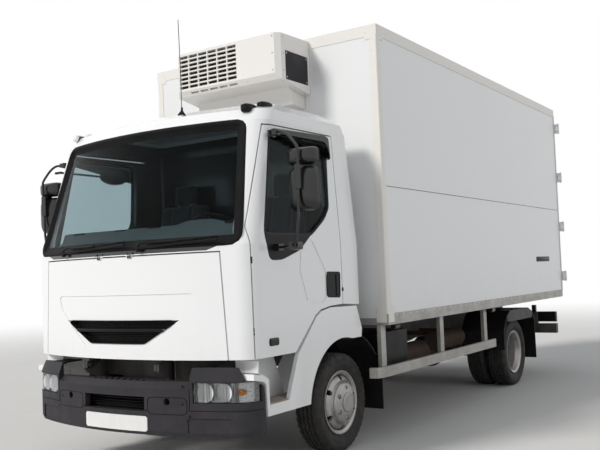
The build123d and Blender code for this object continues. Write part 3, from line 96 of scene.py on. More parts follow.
# Shader nodes
def feed(tree, socket, value):
    """Links another node's output to a socket, or sets the socket's plain value."""
    if isinstance(value, bpy.types.NodeSocket):
        tree.links.new(value, socket)
    else:
        socket.default_value = value


def dress(tree, made, **values):
    """Sets a node's properties and the inputs that the keys name."""
    for key, value in values.items():
        if hasattr(made, key):
            setattr(made, key, value)
        else:
            feed(tree, made.inputs[key.replace("_", " ")], value)


def node(tree, kind, *inputs, out=0, **values):
    """Output of a new shader node. The inputs feed its sockets in order."""
    made = tree.nodes.new("ShaderNode" + kind)
    dress(tree, made, **values)
    for socket, value in zip(made.inputs, inputs):
        feed(tree, socket, value)
    return made.outputs[out] if made.outputs else None


def combine(tree, operation, *values):
    """One maths node with numbers or sockets as its inputs."""
    return node(tree, "Math", *values, operation=operation)


def seen_directly(tree):
    """1 for camera, glossy and transmission rays, 0 for the light that falls on the truck."""
    rays = [node(tree, "LightPath", out=f"Is {kind} Ray")
            for kind in ("Camera", "Glossy", "Transmission")]
    return reduce(partial(combine, tree, "MAXIMUM"), rays)


# Studio: direction to each lamp, strength, softness in degrees, colour
LAMPS = {"key": ((-0.36, -0.8, 0.62), 2.3, 14, (1, 0.98, 0.95)),
         "fill": ((0.85, -0.3, 0.35), 0.22, 40, (0.95, 0.97, 1))}
AMBIENT = (0.44, 0.455, 0.475, 1)
WHITE = (1, 1, 1, 1)
FLOOR_COLOUR = (0.7, 0.69, 0.67, 1)
FLOOR_HALF = 90
FLOOR_FADE = (7, 22)      # the floor turns into the white backdrop between these radii
FLOOR_TONES = (0.97, 1.03)
BACKDROP_LIGHT = 0.5      # how much of the backdrop's white lights the truck


def make_world():
    world = bpy.data.worlds.new("studio")
    bpy.context.scene.world = world
    world.use_nodes = True
    tree = world.node_tree
    tree.nodes.clear()
    light = node(tree, "Background", AMBIENT)
    shown = node(tree, "Background", WHITE)
    node(tree, "OutputWorld", node(tree, "MixShader", seen_directly(tree), light, shown))


def make_lamps():
    for name, (to_lamp, strength, soft, colour) in LAMPS.items():
        data = bpy.data.lights.new(name, "SUN")
        data.energy = strength
        data.angle = radians(soft)
        data.color = colour
        lamp = placed(name, data)
        lamp.rotation_mode = "QUATERNION"
        lamp.rotation_quaternion = Vector(to_lamp).to_track_quat("Z", "Y")
        lamp.visible_glossy = False
        lamp.visible_transmission = False


def make_floor():
    """Pale floor that fades into the white backdrop far from the truck."""
    half = FLOOR_HALF
    mesh = bpy.data.meshes.new("floor")
    mesh.from_pydata([(-half, -half, 0), (half, -half, 0), (half, half, 0), (-half, half, 0)],
                     [], [(0, 1, 2, 3)])
    floor = placed("floor", mesh)
    paint = bpy.data.materials.new("floor")
    paint.use_nodes = True
    tree = paint.node_tree
    tree.nodes.clear()
    place = node(tree, "TexCoord", out="Object")
    far = node(tree, "VectorMath", place, operation="LENGTH", out="Value")
    fade = node(tree, "MapRange", far, *FLOOR_FADE, interpolation_type="SMOOTHSTEP")
    grain = node(tree, "TexNoise", Vector=place, Scale=1.5, Detail=6, out="Fac")
    tone = node(tree, "MapRange", grain, 0, 1, *FLOOR_TONES)
    colour = node(tree, "Mix", data_type="RGBA", blend_type="MULTIPLY", Factor=1,
                  A=FLOOR_COLOUR, B=tone, out="Result")
    strength = node(tree, "MapRange", seen_directly(tree), 0, 1, BACKDROP_LIGHT, 1)
    mix = node(tree, "MixShader", fade, node(tree, "BsdfDiffuse", colour),
               node(tree, "Emission", WHITE, strength))
    node(tree, "OutputMaterial", mix)
    mesh.materials.append(paint)


# Finishes
DUST = (0.36, 0.31, 0.26)
# Painted shade: near black under the cab, partly its dark steel underside
UNDERSIDE_SHADE = (0.02, 0.019, 0.018)
# Painted shade inside the cab, in one colour with its dark trim; also the black cowl
LINING_AND_SHADE = (0.022, 0.023, 0.026)
UNDERSIDE_SHADE_EDGE = 0.004


def principled(name, colour, rough, **sockets):
    """Material with one Principled shader, with its tree and shader."""
    paint = bpy.data.materials.new(name)
    paint.use_nodes = True
    tree = paint.node_tree
    shader = tree.nodes["Principled BSDF"]
    dress(tree, shader, Base_Color=(*colour, 1), Roughness=rough, **sockets)
    return paint, tree, shader


def noise(tree, scale, detail=4, stretch=(1, 1, 1), low=0, high=1, clip=(0.3, 0.7)):
    """Noise over the object's own place, from low to high."""
    place = node(tree, "Mapping", node(tree, "TexCoord", out="Object"), Scale=stretch)
    grain = node(tree, "TexNoise", Vector=place, Scale=scale, Detail=detail, out="Fac")
    return node(tree, "MapRange", grain, *clip, low, high)


def stripes(tree, scale, direction):
    """Even waves across the object's own place."""
    return node(tree, "TexWave", node(tree, "TexCoord", out="Object"), Scale=scale,
                bands_direction=direction, out="Fac")


def height_mask(tree, low, high):
    """1 below the height low, 0 above the height high, in metres."""
    height = node(tree, "SeparateXYZ", node(tree, "TexCoord", out="Object"), out="Z")
    return node(tree, "MapRange", height, low, high, 1, 0, interpolation_type="SMOOTHSTEP")


def blend_colour(tree, share, below, above):
    """Colour that goes from below to above as share goes from 0 to 1."""
    below, above = ((*value, 1) if isinstance(value, tuple) else value
                    for value in (below, above))
    return node(tree, "Mix", data_type="RGBA", Factor=share, A=below, B=above, out="Result")


def dusted(tree, base, speckle, low, top, share):
    """Base colour with specks of dust that thin out between two heights."""
    grime = combine(tree, "MULTIPLY", height_mask(tree, low, top), speckle)
    return blend_colour(tree, combine(tree, "MULTIPLY", grime, share), base, DUST)


def bump(tree, height, depth):
    return node(tree, "Bump", Strength=1, Distance=depth, Height=height)


# Where the cab's paint is dark, in metres: inside its outer faces, where its dark trim and painted shade inside
# the cab are one colour, and on the cowl under the glass
BELT_Z, CAB_HALF, CAB_FRONT_Y, CAB_REAR_Y = 1.59, 1.062, -1.36, 0.27
SIDE_LEAN, FRONT_LEAN = 0.0578, 0.326
ROOF_INSIDE_Z = 2.56
CAB_MIDDLE_Y, CAB_MIDDLE_Z = -0.55, 1.75
LINING_DEPTH, FACING_LIMIT = 0.02, 0.02
COWL_Z, COWL_HALF, COWL_SPREAD, COWL_REAR_Y = (1.5562, 1.602), 0.76, 3, -1
LUG_DROP, LUG_RISE = 0.035, 0.004
CROWN_R = 2924


def cab_inside(tree):
    """1 on faces that look inwards and lie deeper than the lining, dark as trim and painted shade, and on the
    cowl.
    """
    calc = partial(combine, tree)
    place = node(tree, "TexCoord", out="Object")
    x, y, z = (node(tree, "SeparateXYZ", place, out=axis) for axis in "XYZ")
    outwards = node(tree, "VectorMath", place, (0, AXLE_Y + CAB_MIDDLE_Y, CAB_MIDDLE_Z),
                    operation="SUBTRACT")
    facing = node(tree, "VectorMath", outwards, node(tree, "TexCoord", out="Normal"),
                  operation="DOT_PRODUCT", out="Value")
    lean = calc("MAXIMUM", calc("SUBTRACT", z, BELT_Z), 0)
    wide = calc("ABSOLUTE", x)
    half = calc("SUBTRACT", CAB_HALF - LINING_DEPTH, calc("MULTIPLY", lean, SIDE_LEAN))
    crown = calc("DIVIDE", calc("MULTIPLY", x, x), 2 * CROWN_R / 1000)
    front = calc("ADD", calc("ADD", AXLE_Y + CAB_FRONT_Y + LINING_DEPTH,
                             calc("MULTIPLY", lean, FRONT_LEAN)), crown)
    inside = reduce(partial(calc, "MULTIPLY"), [
        calc("LESS_THAN", facing, FACING_LIMIT),
        calc("LESS_THAN", wide, half),
        calc("GREATER_THAN", y, front),
        calc("LESS_THAN", y, AXLE_Y + CAB_REAR_Y - LINING_DEPTH),
        calc("LESS_THAN", z, ROOF_INSIDE_Z)])
    reach = calc("ADD", COWL_HALF, calc("MULTIPLY", calc("SUBTRACT", z, COWL_Z[0]), COWL_SPREAD))
    strip = calc("MULTIPLY", calc("GREATER_THAN", z, COWL_Z[0]), calc("LESS_THAN", wide, reach))
    lugs = calc("MULTIPLY", calc("GREATER_THAN", z, COWL_Z[0] - LUG_DROP),
                calc("LESS_THAN", y, calc("SUBTRACT", front, LINING_DEPTH + LUG_RISE)))
    near = calc("MULTIPLY", calc("LESS_THAN", y, AXLE_Y + COWL_REAR_Y),
                calc("LESS_THAN", z, COWL_Z[1]))
    return calc("MAXIMUM", inside, calc("MULTIPLY", near, calc("MAXIMUM", strip, lugs)))


def painted(name, colour, rough=0.28, coat=0, dust=0.25, dust_top=1.15, ripple=0.0002,
            shine=0.5, under=None, lined=False):
    """Gloss paint with slight ripple, tone changes and road dust low down.

    Below the height under it is painted near black, as painted shade under the cab and partly its dark steel
    underside; with lining on, it is dark inside the cab, where trim and painted shade are one colour, and on the
    cowl.
    """
    paint, tree, shader = principled(name, colour, rough, Coat_Weight=coat, Coat_Roughness=0.08,
                                     Specular_IOR_Level=shine)
    base = blend_colour(tree, noise(tree, 0.9, 2, high=0.35, clip=(0.1, 0.9)), colour,
                        tuple(c * 0.95 for c in colour))
    tone = dusted(tree, base, noise(tree, 9, 8, stretch=(1, 1, 0.35)), 0.45, dust_top, dust)
    # painted shade under the cab, partly its dark steel underside
    if under:
        tone = blend_colour(tree, height_mask(tree, under - UNDERSIDE_SHADE_EDGE, under), tone, UNDERSIDE_SHADE)
    # painted shade inside the cab, in one colour with its dark trim, and the black cowl
    if lined:
        tone = blend_colour(tree, cab_inside(tree), tone, LINING_AND_SHADE)
    dress(tree, shader, Base_Color=tone,
          Roughness=noise(tree, 2, 3, low=rough * 0.9, high=rough * 1.2, clip=(0, 1)),
          Normal=bump(tree, noise(tree, 2, 0, clip=(-1, 2)), ripple))
    return paint


def moulded(name, colour, rough=0.55, grain=220, depth=0.0006, faded=None, dust=0.3,
            dust_top=1.2):
    """Grained plastic, greyed where it is weathered."""
    paint, tree, shader = principled(name, colour, rough, Specular_IOR_Level=0.12)
    faded = faded or tuple(min(1, c * 1.5 + 0.01) for c in colour)
    weather = blend_colour(tree, noise(tree, 4, 8), colour, faded)
    specks = noise(tree, 14, 9, clip=(0.42, 0.75))
    dress(tree, shader, Base_Color=dusted(tree, weather, specks, 0.3, dust_top, dust),
          Roughness=noise(tree, 6, 5, low=rough * 0.85, high=rough * 1.2),
          Normal=bump(tree, noise(tree, grain, 3, clip=(0.2, 0.8)), depth))
    return paint


def metal(name, colour, rough=0.38, stretch=(1, 1, 1), dust=0.3, dust_top=1.2, metallic=1):
    """Worn metal with fine brushed grain along the least stretched axis."""
    paint, tree, shader = principled(name, colour, rough, Metallic=metallic)
    tone = blend_colour(tree, noise(tree, 6, 8), colour, tuple(c * 0.72 for c in colour))
    specks = noise(tree, 12, 8)
    dress(tree, shader, Base_Color=dusted(tree, tone, specks, 0.3, dust_top, dust),
          Roughness=noise(tree, 60, 5, stretch, low=rough * 0.8, high=rough * 1.3),
          Normal=bump(tree, noise(tree, 120, 3, stretch), 0.0003))
    return paint


def glass(name, colour, rough=0, ior=1.45, flutes=None):
    """Clear or tinted glass; flutes sets how close its ribs stand."""
    paint, tree, shader = principled(name, colour, rough, Transmission_Weight=1, IOR=ior,
                                     Specular_IOR_Level=0.5)
    if flutes:
        dress(tree, shader, Normal=bump(tree, stripes(tree, flutes, "X"), 0.004))
    return paint


def rubber_finish(name, colour, dust):
    """Tyre rubber with dust in the low spots and fine scuffs."""
    paint, tree, shader = principled(name, colour, 0.72, Specular_IOR_Level=0.35)
    dusty = tuple(c * 0.5 + d * 0.35 for c, d in zip(colour, DUST))
    share = combine(tree, "MULTIPLY", noise(tree, 18, 9, clip=(0.35, 0.75)), dust)
    dress(tree, shader, Base_Color=blend_colour(tree, share, colour, dusty),
          Normal=bump(tree, noise(tree, 160, 4, clip=(0.2, 0.8)), 0.0005))
    return paint


def woven(name, colour, light):
    """Seat cloth: two crossing sets of fine threads."""
    paint, tree, shader = principled(name, colour, 0.85, Sheen_Weight=0.3, Sheen_Roughness=0.5)
    weave = combine(tree, "MULTIPLY", *(stripes(tree, 420, way) for way in "XZ"))
    dress(tree, shader, Base_Color=blend_colour(tree, weave, colour, light),
          Normal=bump(tree, weave, 0.0006))
    return paint


CAB_WHITE = (0.84, 0.843, 0.845)
CAB_LOOK = dict(rough=0.22, coat=0.5, dust=0.14)
ALONG = (1, 0.1, 1)
PAINTS = {name: kind(name, colour, **look) for name, kind, colour, look in (
    ("cab_paint", painted, CAB_WHITE, CAB_LOOK),
    # the cab's shell has painted shade below 0.829 m and inside the cab
    ("cab_shell", painted, CAB_WHITE, dict(CAB_LOOK, under=0.829, lined=True)),
    ("box_panel", painted, (0.8, 0.803, 0.805),
     dict(rough=0.3, coat=0.25, dust=0.16, dust_top=1.6, ripple=0.0003)),
    ("box_post", painted, (0.8, 0.78, 0.735),
     dict(rough=0.38, coat=0.15, dust=0.35, dust_top=1.5)),
    ("rail_aluminium", metal, (0.44, 0.43, 0.41), dict(rough=0.48, stretch=ALONG, metallic=0.65)),
    ("steel_frame", painted, (0.022, 0.022, 0.024), dict(rough=0.5, dust=0.35, dust_top=1.3)),
    ("stainless", metal, (0.55, 0.55, 0.54), dict(rough=0.3, stretch=(1, 1, 0.1))),
    ("charcoal_plastic", moulded, (0.034, 0.032, 0.036),
     dict(rough=0.5, dust=0.035, faded=(0.039, 0.037, 0.041))),
    ("black_plastic", moulded, (0.009, 0.009, 0.01),
     dict(rough=0.32, dust=0.03, faded=(0.015, 0.015, 0.016))),
    ("rubber", rubber_finish, (0.015, 0.0145, 0.0145), dict(dust=0.22)),
    ("wheel_silver", metal, (0.44, 0.43, 0.43), dict(rough=0.38, metallic=0.7, dust_top=0.8)),
    ("window_glass", glass, (0.5, 0.59, 0.61), dict(ior=1.12)),
    ("lamp_lens", glass, (0.97, 0.98, 0.98), dict(ior=1.2, flutes=14)),
    ("unit_paint", painted, (0.8, 0.775, 0.74), dict(rough=0.34, coat=0.25, dust=0)),
    ("engine_iron", metal, (0.1, 0.1, 0.1), dict(rough=0.6, metallic=0.5)),
    ("interior_plastic", moulded, (0.055, 0.057, 0.062), dict(rough=0.6, dust=0)),
    ("seat_fabric", woven, (0.025, 0.028, 0.033), dict(light=(0.055, 0.06, 0.072))),
    ("tank_metal", metal, (0.42, 0.42, 0.42), dict(rough=0.42, stretch=ALONG)),
    # dark red-brown tanks, darkened further as painted shade under the box
    ("air_tank_paint", painted, (0.045, 0.028, 0.021), dict(rough=0.6, dust=0.1, shine=0.1)),
    ("seal_rubber", moulded, (0.007, 0.007, 0.007),
     dict(rough=0.6, grain=90, faded=(0.011, 0.011, 0.011), dust=0.05)),
    ("gloss_black", painted, (0.008, 0.008, 0.009), dict(rough=0.35, dust=0.05, shine=0.14)),
    ("mirror_black", painted, (0.01, 0.01, 0.011), dict(rough=0.24, dust=0.03, shine=0.55)),
    ("smoked", glass, (0.05, 0.05, 0.055), dict(rough=0.05)),
    ("amber", glass, (0.95, 0.32, 0.03), dict(rough=0.12)),
    ("red_lens", glass, (0.75, 0.03, 0.02), dict(rough=0.12)),
    ("plate_white", painted, (0.8, 0.8, 0.79),
     dict(rough=0.35, coat=0.1, dust=0.15, dust_top=0.9)),
    ("lamp_shell", metal, (0.62, 0.63, 0.65), dict(rough=0.3, metallic=0.5, dust=0)),
    ("reflector", metal, (0.93, 0.94, 0.95), dict(rough=0.2, metallic=0.4, dust=0)),
    ("mirror_silver", metal, (0.86, 0.87, 0.88), dict(rough=0.05, dust=0)),
    ("bulb", painted, (0.75, 0.75, 0.72), dict(rough=0.1, coat=0.6, dust=0)),
    ("dash_grey", moulded, (0.26, 0.27, 0.28),
     dict(rough=0.7, grain=150, dust=0, faded=(0.3, 0.31, 0.32))),
    ("floor_grip", moulded, (0.27, 0.235, 0.2),
     dict(rough=0.7, grain=90, depth=0.002, dust=0.4, dust_top=1.4)))}
CAB_SHELL_NODES = ("cab_body", "cab_roof", "door_left", "door_right", "front_hatch")


def paint_nodes():
    """Gives every CAD node the finish of its material slot; the cab's shell is dark inside, its trim and painted
    shade in one colour, with painted shade under the cab.
    """
    for part in frame["record"]["subparts"]:
        name = part["node"]
        mesh = NODES[name].data
        mesh.materials.clear()
        mesh.materials.append(PAINTS["cab_shell" if name in CAB_SHELL_NODES
                                     else part["material_slot"]])


# Outlines and places
def spread(first, last, steps):
    """Evenly spaced values from first to last."""
    return [first + (last - first) * k / steps for k in range(steps + 1)]


def turns(count):
    """Angles evenly round a circle."""
    return [2 * pi * k / count for k in range(count)]


def squircle(count, power):
    """Circle made squarer, of radius 1."""
    return [tuple(copysign(abs(v) ** power, v) for v in (cos(a), sin(a))) for a in turns(count)]


def fan(outline, centre, count):
    """Points where rays from a centre, evenly turned, meet a closed outline."""
    edges = list(zip(outline, outline[1:] + outline[:1]))
    found = []
    for angle in turns(count):
        dx, dy = cos(angle), sin(angle)
        reach = 0
        for (ax, ay), (bx, by) in edges:
            ax, ay, bx, by = ax - centre[0], ay - centre[1], bx - centre[0], by - centre[1]
            a, b = dx * ay - dy * ax, dx * by - dy * bx
            if a * b <= 0 and a != b:
                share = a / (a - b)
                reach = max(reach, dx * (ax + (bx - ax) * share) + dy * (ay + (by - ay) * share))
        found.append((centre[0] + dx * reach, centre[1] + dy * reach))
    return found


def rounded(corners, r, steps=6):
    """Closed outline with its corners eased over the distance r."""
    eased = []
    for i, corner in enumerate(corners):
        corner = Vector(corner)
        ends = []
        for other in (corners[i - 1], corners[(i + 1) % len(corners)]):
            run = Vector(other) - corner
            ends.append(corner + run.normalized() * min(r, run.length * 0.45))
        for k in range(steps + 1):
            t = k / steps
            eased.append(tuple(ends[0] * (1 - t) ** 2 + corner * (2 * t * (1 - t))
                               + ends[1] * t ** 2))
    return eased


def panel(a0, a1, b0, b1, r):
    """Rectangle with eased corners."""
    return rounded([(a0, b0), (a1, b0), (a1, b1), (a0, b1)], r)


def oval(centre, half_a, half_b, steps=28):
    return [(centre[0] + half_a * cos(a), centre[1] + half_b * sin(a))
            for a in turns(steps)]


def grown(outline, distance):
    """Closed outline moved outwards."""
    ahead = outline[1:] + outline[:1]
    area = sum(a[0] * b[1] - b[0] * a[1] for a, b in zip(outline, ahead))
    turn = distance if area > 0 else -distance
    moved = []
    for i, (x, y) in enumerate(outline):
        run = (Vector(ahead[i]) - Vector(outline[i - 1])).normalized()
        moved.append((x + turn * run.y, y - turn * run.x))
    return moved


def smooth_path(points, rounds=3):
    """Path with its corners cut, ends kept."""
    for _ in range(rounds):
        cut = [points[0]]
        for a, b in zip(points, points[1:]):
            a, b = Vector(a), Vector(b)
            cut += [tuple(a * 0.75 + b * 0.25), tuple(a * 0.25 + b * 0.75)]
        points = cut + [points[-1]]
    return points


def border(rows):
    """Outline round a grid of points."""
    return (rows[0] + [row[-1] for row in rows[1:-1]] + rows[-1][::-1]
            + [row[0] for row in rows[-2:0:-1]])


def skin(name):
    """Tree of a CAD node's faces that rays are cast on."""
    mesh = NODES[name].data
    return BVHTree.FromPolygons([v.co for v in mesh.vertices],
                                [list(face.vertices) for face in mesh.polygons])


def touch(tree, start, way):
    """Place where a ray meets a skin, or None."""
    found = tree.ray_cast(at(*start), Vector(way))[0]
    if found is None:
        return None
    return (found.x * 1000, (found.y - AXLE_Y) * 1000, found.z * 1000)


# Faces that outlines are laid on: flat ones across an axis, and the cab's and the bumper's.
# The cab's levels are height, front in the middle and half width
CAB_LEVELS = ((832, -1366, 1062), (1590, -1356, 1062), (2455, -1074, 1012))
BUMPER_FRONT, BUMPER_R = -1412, 2700


def across_x(y, z, x):
    return x, y, z


def across_y(x, z, y):
    return x, y, z


def across_z(x, y, z):
    return x, y, z


def cab_level(z):
    """Front in the middle and half width of the cab at a height."""
    first = 0 if z <= CAB_LEVELS[1][0] else 1
    (z0, front0, half0), (z1, front1, half1) = CAB_LEVELS[first:first + 2]
    share = (z - z0) / (z1 - z0)
    return front0 + (front1 - front0) * share, half0 + (half1 - half0) * share


def cab_front(x, z):
    return cab_level(z)[0] + CROWN_R - sqrt(CROWN_R ** 2 - x * x)


def on_cab_front(x, z, depth):
    return x, cab_front(x, z) + depth, z


def on_cab_side(y, z, lift):
    return cab_level(z)[1] + lift, y, z


def bumper_front(x):
    return BUMPER_FRONT + BUMPER_R - sqrt(BUMPER_R ** 2 - x * x)


def on_bumper(x, z, lift):
    return x, bumper_front(x) - lift, z


def ring(middle, across, third, r, count):
    return [middle + across * (r * cos(a)) + third * (r * sin(a)) for a in turns(count)]


class Form:
    """Mesh put together from simple shapes; all but plain grids are mirrored to its side."""

    def __init__(self, side=1):
        self.side = side
        self.points, self.faces, self.paints = [], [], []

    def named(self, text):
        """Name that has the side's name added where it ends in an underscore."""
        return text + ("left" if self.side > 0 else "right") * text.endswith("_")

    def add(self, points, faces, paint=0):
        first = len(self.points)
        self.points += [tuple(p) for p in points]
        self.faces += [[first + i for i in face] for face in faces]
        self.paints += [paint] * len(faces)

    def grid(self, rows, paint=0, closed=False, capped=False):
        """Skin over rows of points; closed joins the two ends of each row."""
        count = len(rows[0])
        faces = []
        for j in range(len(rows) - 1):
            for i in range(count if closed else count - 1):
                k = (i + 1) % count
                faces.append((j * count + i, j * count + k,
                              (j + 1) * count + k, (j + 1) * count + i))
        if capped:
            faces.append(range(count))
            faces.append(range((len(rows) - 1) * count, len(rows) * count))
        self.add([p for row in rows for p in row], faces, paint)

    def row(self, face, outline, level, growth=0):
        """A flat outline, grown and laid on a face at a level."""
        return [(self.side * x, y, z)
                for x, y, z in (face(a, b, level) for a, b in grown(outline, growth))]

    def slab(self, outline, face, levels, paint=0, capped=True):
        """Closed skin over an outline laid on a face, at levels that may have a growth."""
        rows = [self.row(face, outline, *(level if isinstance(level, tuple) else (level,)))
                for level in levels]
        self.grid(rows, paint, True, capped)

    def box(self, x0, x1, y0, y1, z0, z1, paint=0):
        self.slab([(x0, y0), (x1, y0), (x1, y1), (x0, y1)], across_z, (z0, z1), paint)

    def bar(self, across, face, z, section):
        """Bar along x that follows a face; the section is (depth, rise)."""
        rows = [[(x, face(x) + depth, z + rise) for x in across] for depth, rise in section]
        self.grid(rows + rows[:1])

    def sheet(self, across, face, depth, z0, z1):
        """Upright sheet behind a face."""
        self.grid([[(x, face(x) + depth, z) for x in across] for z in (z0, z1)])

    def turned(self, profile, centre, axis, paint=0, steps=32, looped=False):
        """Profile of (offset along the axis, radius) turned about it."""
        centre, along = (Vector((self.side * x, y, z)) for x, y, z in (centre, axis))
        along.normalize()
        across = along.orthogonal().normalized()
        rows = [ring(centre + along * offset, across, along.cross(across), r, steps)
                for offset, r in profile + profile[:1] * looped]
        self.grid(rows, paint, True, not looped)

    def tube(self, path, r, paint=0, sides=12):
        """Round bar along a path."""
        rows = []
        path = [Vector((self.side * x, y, z)) for x, y, z in path]
        across = None
        for i, place in enumerate(path):
            along = (path[min(i + 1, len(path) - 1)] - path[max(i - 1, 0)]).normalized()
            across = along.orthogonal() if across is None else across - along * across.dot(along)
            across.normalize()
            rows.append(ring(place, across, along.cross(across), r, sides))
        self.grid(rows, paint, True, True)

    def build(self, name, body, finishes, slot, sharp=35, bevel=0, replaces=()):
        """Makes the object, with its finishes and body; its slot is not used."""
        name, body, *replaces = map(self.named, (name, body, *replaces))
        mesh = bpy.data.meshes.new(name)
        mesh.from_pydata([at(*p) for p in self.points], [], self.faces)
        for finish in finishes.split():
            mesh.materials.append(PAINTS[finish])
        mesh.polygons.foreach_set("material_index", self.paints)
        shape = bmesh.new()
        shape.from_mesh(mesh)
        bmesh.ops.recalc_face_normals(shape, faces=shape.faces)
        shape.to_mesh(mesh)
        shape.free()
        mesh.polygons.foreach_set("use_smooth", [True] * len(mesh.polygons))
        mesh.set_sharp_from_angle(angle=radians(sharp))
        piece = placed(name, mesh)
        if bevel:
            edge = piece.modifiers.new("bevel", "BEVEL")
            edge.width = bevel / 1000
            edge.segments = 2
            edge.limit_method = "ANGLE"
        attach(piece, body)
        if replaces:
            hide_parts(*replaces)
        return piece


# Wheels: body, place along the truck and middles of the tyres at an axle's end
AXLES = {"front": ("front_wheel_", 0, (907,)), "rear": ("rear_wheels_", REAR_AXLE_Y, (985, 739))}
TYRE_R, TYRE_HALF, BEAD_R = 376, 105, 226
GROOVES, GROOVE_DEPTH, GROOVE_WEAVE, NOTCH_DEPTH = (-54, -18, 18, 54), 12, 3.5, 9
TREAD_STEPS = 168
NUTS, NUT_CIRCLE, NUT_R = 6, 118, 15
WASHER = [(0, NUT_R + 3), (5, NUT_R + 2), (6, NUT_R - 1)]
NUT = [(5, NUT_R), (17, NUT_R), (20, NUT_R - 3)]
STUD = [(18, 7), (26, 7), (28, 5)]
VALVE = ((40, 150, 128), (70, 138, 118))
OUTSIDE_X = 1400


def tyre_section(step):
    """Outline of a tyre at one step round it: beads, ribbed walls, notches, zigzag grooves."""
    weave, notch = (GROOVE_WEAVE, NOTCH_DEPTH) if step % 4 < 2 else (-GROOVE_WEAVE, 0)
    wall = [(75, BEAD_R), (75, 243), (84, 262), (99, 283), (TYRE_HALF, 308), (TYRE_HALF - 2, 322),
            (TYRE_HALF, 325), (TYRE_HALF - 2, 334), (101, 344), (97, 352), (92, 365 - notch),
            (79, TYRE_R - 2 - notch * 0.6)]
    tread = [(middle + weave + u, TYRE_R - (abs(u) < 4) * GROOVE_DEPTH)
             for middle in GROOVES for u in (-5, -3, 3, 5)]
    return [(-u, r) for u, r in wall] + tread + wall[::-1]


def make_wheels():
    for end, (body, y, middles) in AXLES.items():
        for side in SIDES:
            form = Form(side)
            for middle in middles:
                rows = []
                for step in range(TREAD_STEPS + 1):
                    a = 2 * pi * step / TREAD_STEPS
                    rows.append([(side * middle + u, y + r * cos(a), AXLE_Z + r * sin(a))
                                 for u, r in tyre_section(step % TREAD_STEPS)])
                form.grid(rows, closed=True)
            form.build(f"tread_{end}_", body, "rubber", "rubber", 50, replaces=[f"tyre_{end}_"])
    for end, (body, y, middles) in AXLES.items():
        for side in SIDES:
            form = Form(side)
            rim = skin(form.named(f"rim_{end}_"))
            for i in range(NUTS):
                a = 2 * pi * (i + 0.5) / NUTS
                py, pz = y + NUT_CIRCLE * cos(a), AXLE_Z + NUT_CIRCLE * sin(a)
                foot = touch(rim, (side * OUTSIDE_X, py, pz), (-side, 0, 0))
                if foot:
                    place = (side * foot[0] - 1, py, pz)
                    form.turned(WASHER, place, OUT)
                    form.turned(NUT, place, OUT, steps=6)
                    form.turned(STUD, place, OUT, paint=1, steps=14)
            form.tube([(middles[0] + dx, y + dy, AXLE_Z + dz) for dx, dy, dz in VALVE], 5, paint=1)
            form.build(f"wheel_nuts_{end}_", body, "stainless steel_frame", "stainless", 25)


# Windscreen seal: lift from the cab's front and growth of the glass's outline
SEAL = ((-16, -50), (-12, -46), (-8, -18), (4, -10), (7, 4), (5, 17), (-1, 21))
SEAL_HALF = 985


def on_seal(x, z, lift):
    return x, cab_front(min(abs(x), SEAL_HALF), z) - lift, z


def make_seal():
    flat = [(round(v.co.x * 1000, 1), round(v.co.z * 1000, 1))
            for v in NODES["windscreen"].data.vertices]
    outline = [flat[i] for i in convex_hull_2d(flat)]
    middle = [(min(values) + max(values)) / 2 for values in zip(*outline)]
    form = Form()
    form.slab(fan(outline, middle, 240), on_seal, SEAL, capped=False)
    form.build("windscreen_seal", "cab", "seal_rubber", "rubber", 60)


# Wipers: pivot and tip along the windscreen's foot; places are (share, out, up)
WIPERS = ((-560, 130), (250, 860))
WIPER_LOW, WIPER_RISE = 1604, 34
WIPER_ARM = ((0, 30, -18), (0.01, 44, 0), (0.06, 47, 22), (0.13, 44, 26), (0.25, 36, 14),
             (0.55, 30, 8))
WIPER_BARS = ((22, 10, 5), (14, 3, 3))      # out, up and radius of the blade and its rubber
WIPER_CAP = [(-4, 19), (10, 19), (16, 14), (18, 5)]


def wiper_place(wiper, share, out, up):
    x = wiper[0] + (wiper[1] - wiper[0]) * share
    return x, cab_front(x, WIPER_LOW) - out, WIPER_LOW + WIPER_RISE * share + up


def make_wiper_details():
    form = Form()
    for wiper in WIPERS:
        place = partial(wiper_place, wiper)
        form.tube(smooth_path([place(*spot) for spot in WIPER_ARM]), 6.5)
        for out, up, r in WIPER_BARS:
            form.tube([place(share, out, up) for share in spread(0.12, 1, 12)], r, sides=10)
        for share in (0.3, 0.5, 0.7, 0.9):
            x, y, z = place(share, 22, 6)
            form.box(x - 11, x + 11, y - 5, y + 12, z - 4, z + 8)
        form.turned(WIPER_CAP, place(0, 26, -18), AHEAD, steps=24)
    form.build("wiper_arms", "cab", "gloss_black", "black_plastic")


# Black trim of the doors, as (y, z)
DOOR_MIDDLE = (-560, 1990)
DOOR_TRIM = [(-960, 1474), (-815, 1475), (-593, 1540), (-448, 1640), (-150, 1846), (-112, 2290),
             (-136, 2412), (-850, 2384), (-1012, 1668)]
WINDOW = [(-1000, 1650), (-846, 2350), (-800, 2385), (-184, 2385), (-150, 2350), (-152, 1870),
          (-221, 1780), (-425, 1650)]
HANDLE, HANDLE_DEPTH = [(-240, 1378), (-58, 1373), (-66, 1189), (-239, 1198)], 24
GRIP = (-118, -84, 1200, 1364)
SHADE = [(-820, 2392), (-150, 2418), (-100, 2404), (-96, 2250), (-112, 2230), (-128, 2330),
         (-170, 2362), (-800, 2352), (-850, 2340)]
LOCK_AT = (-22, 1244)
MARKER = (-995, -892, 907, 950)


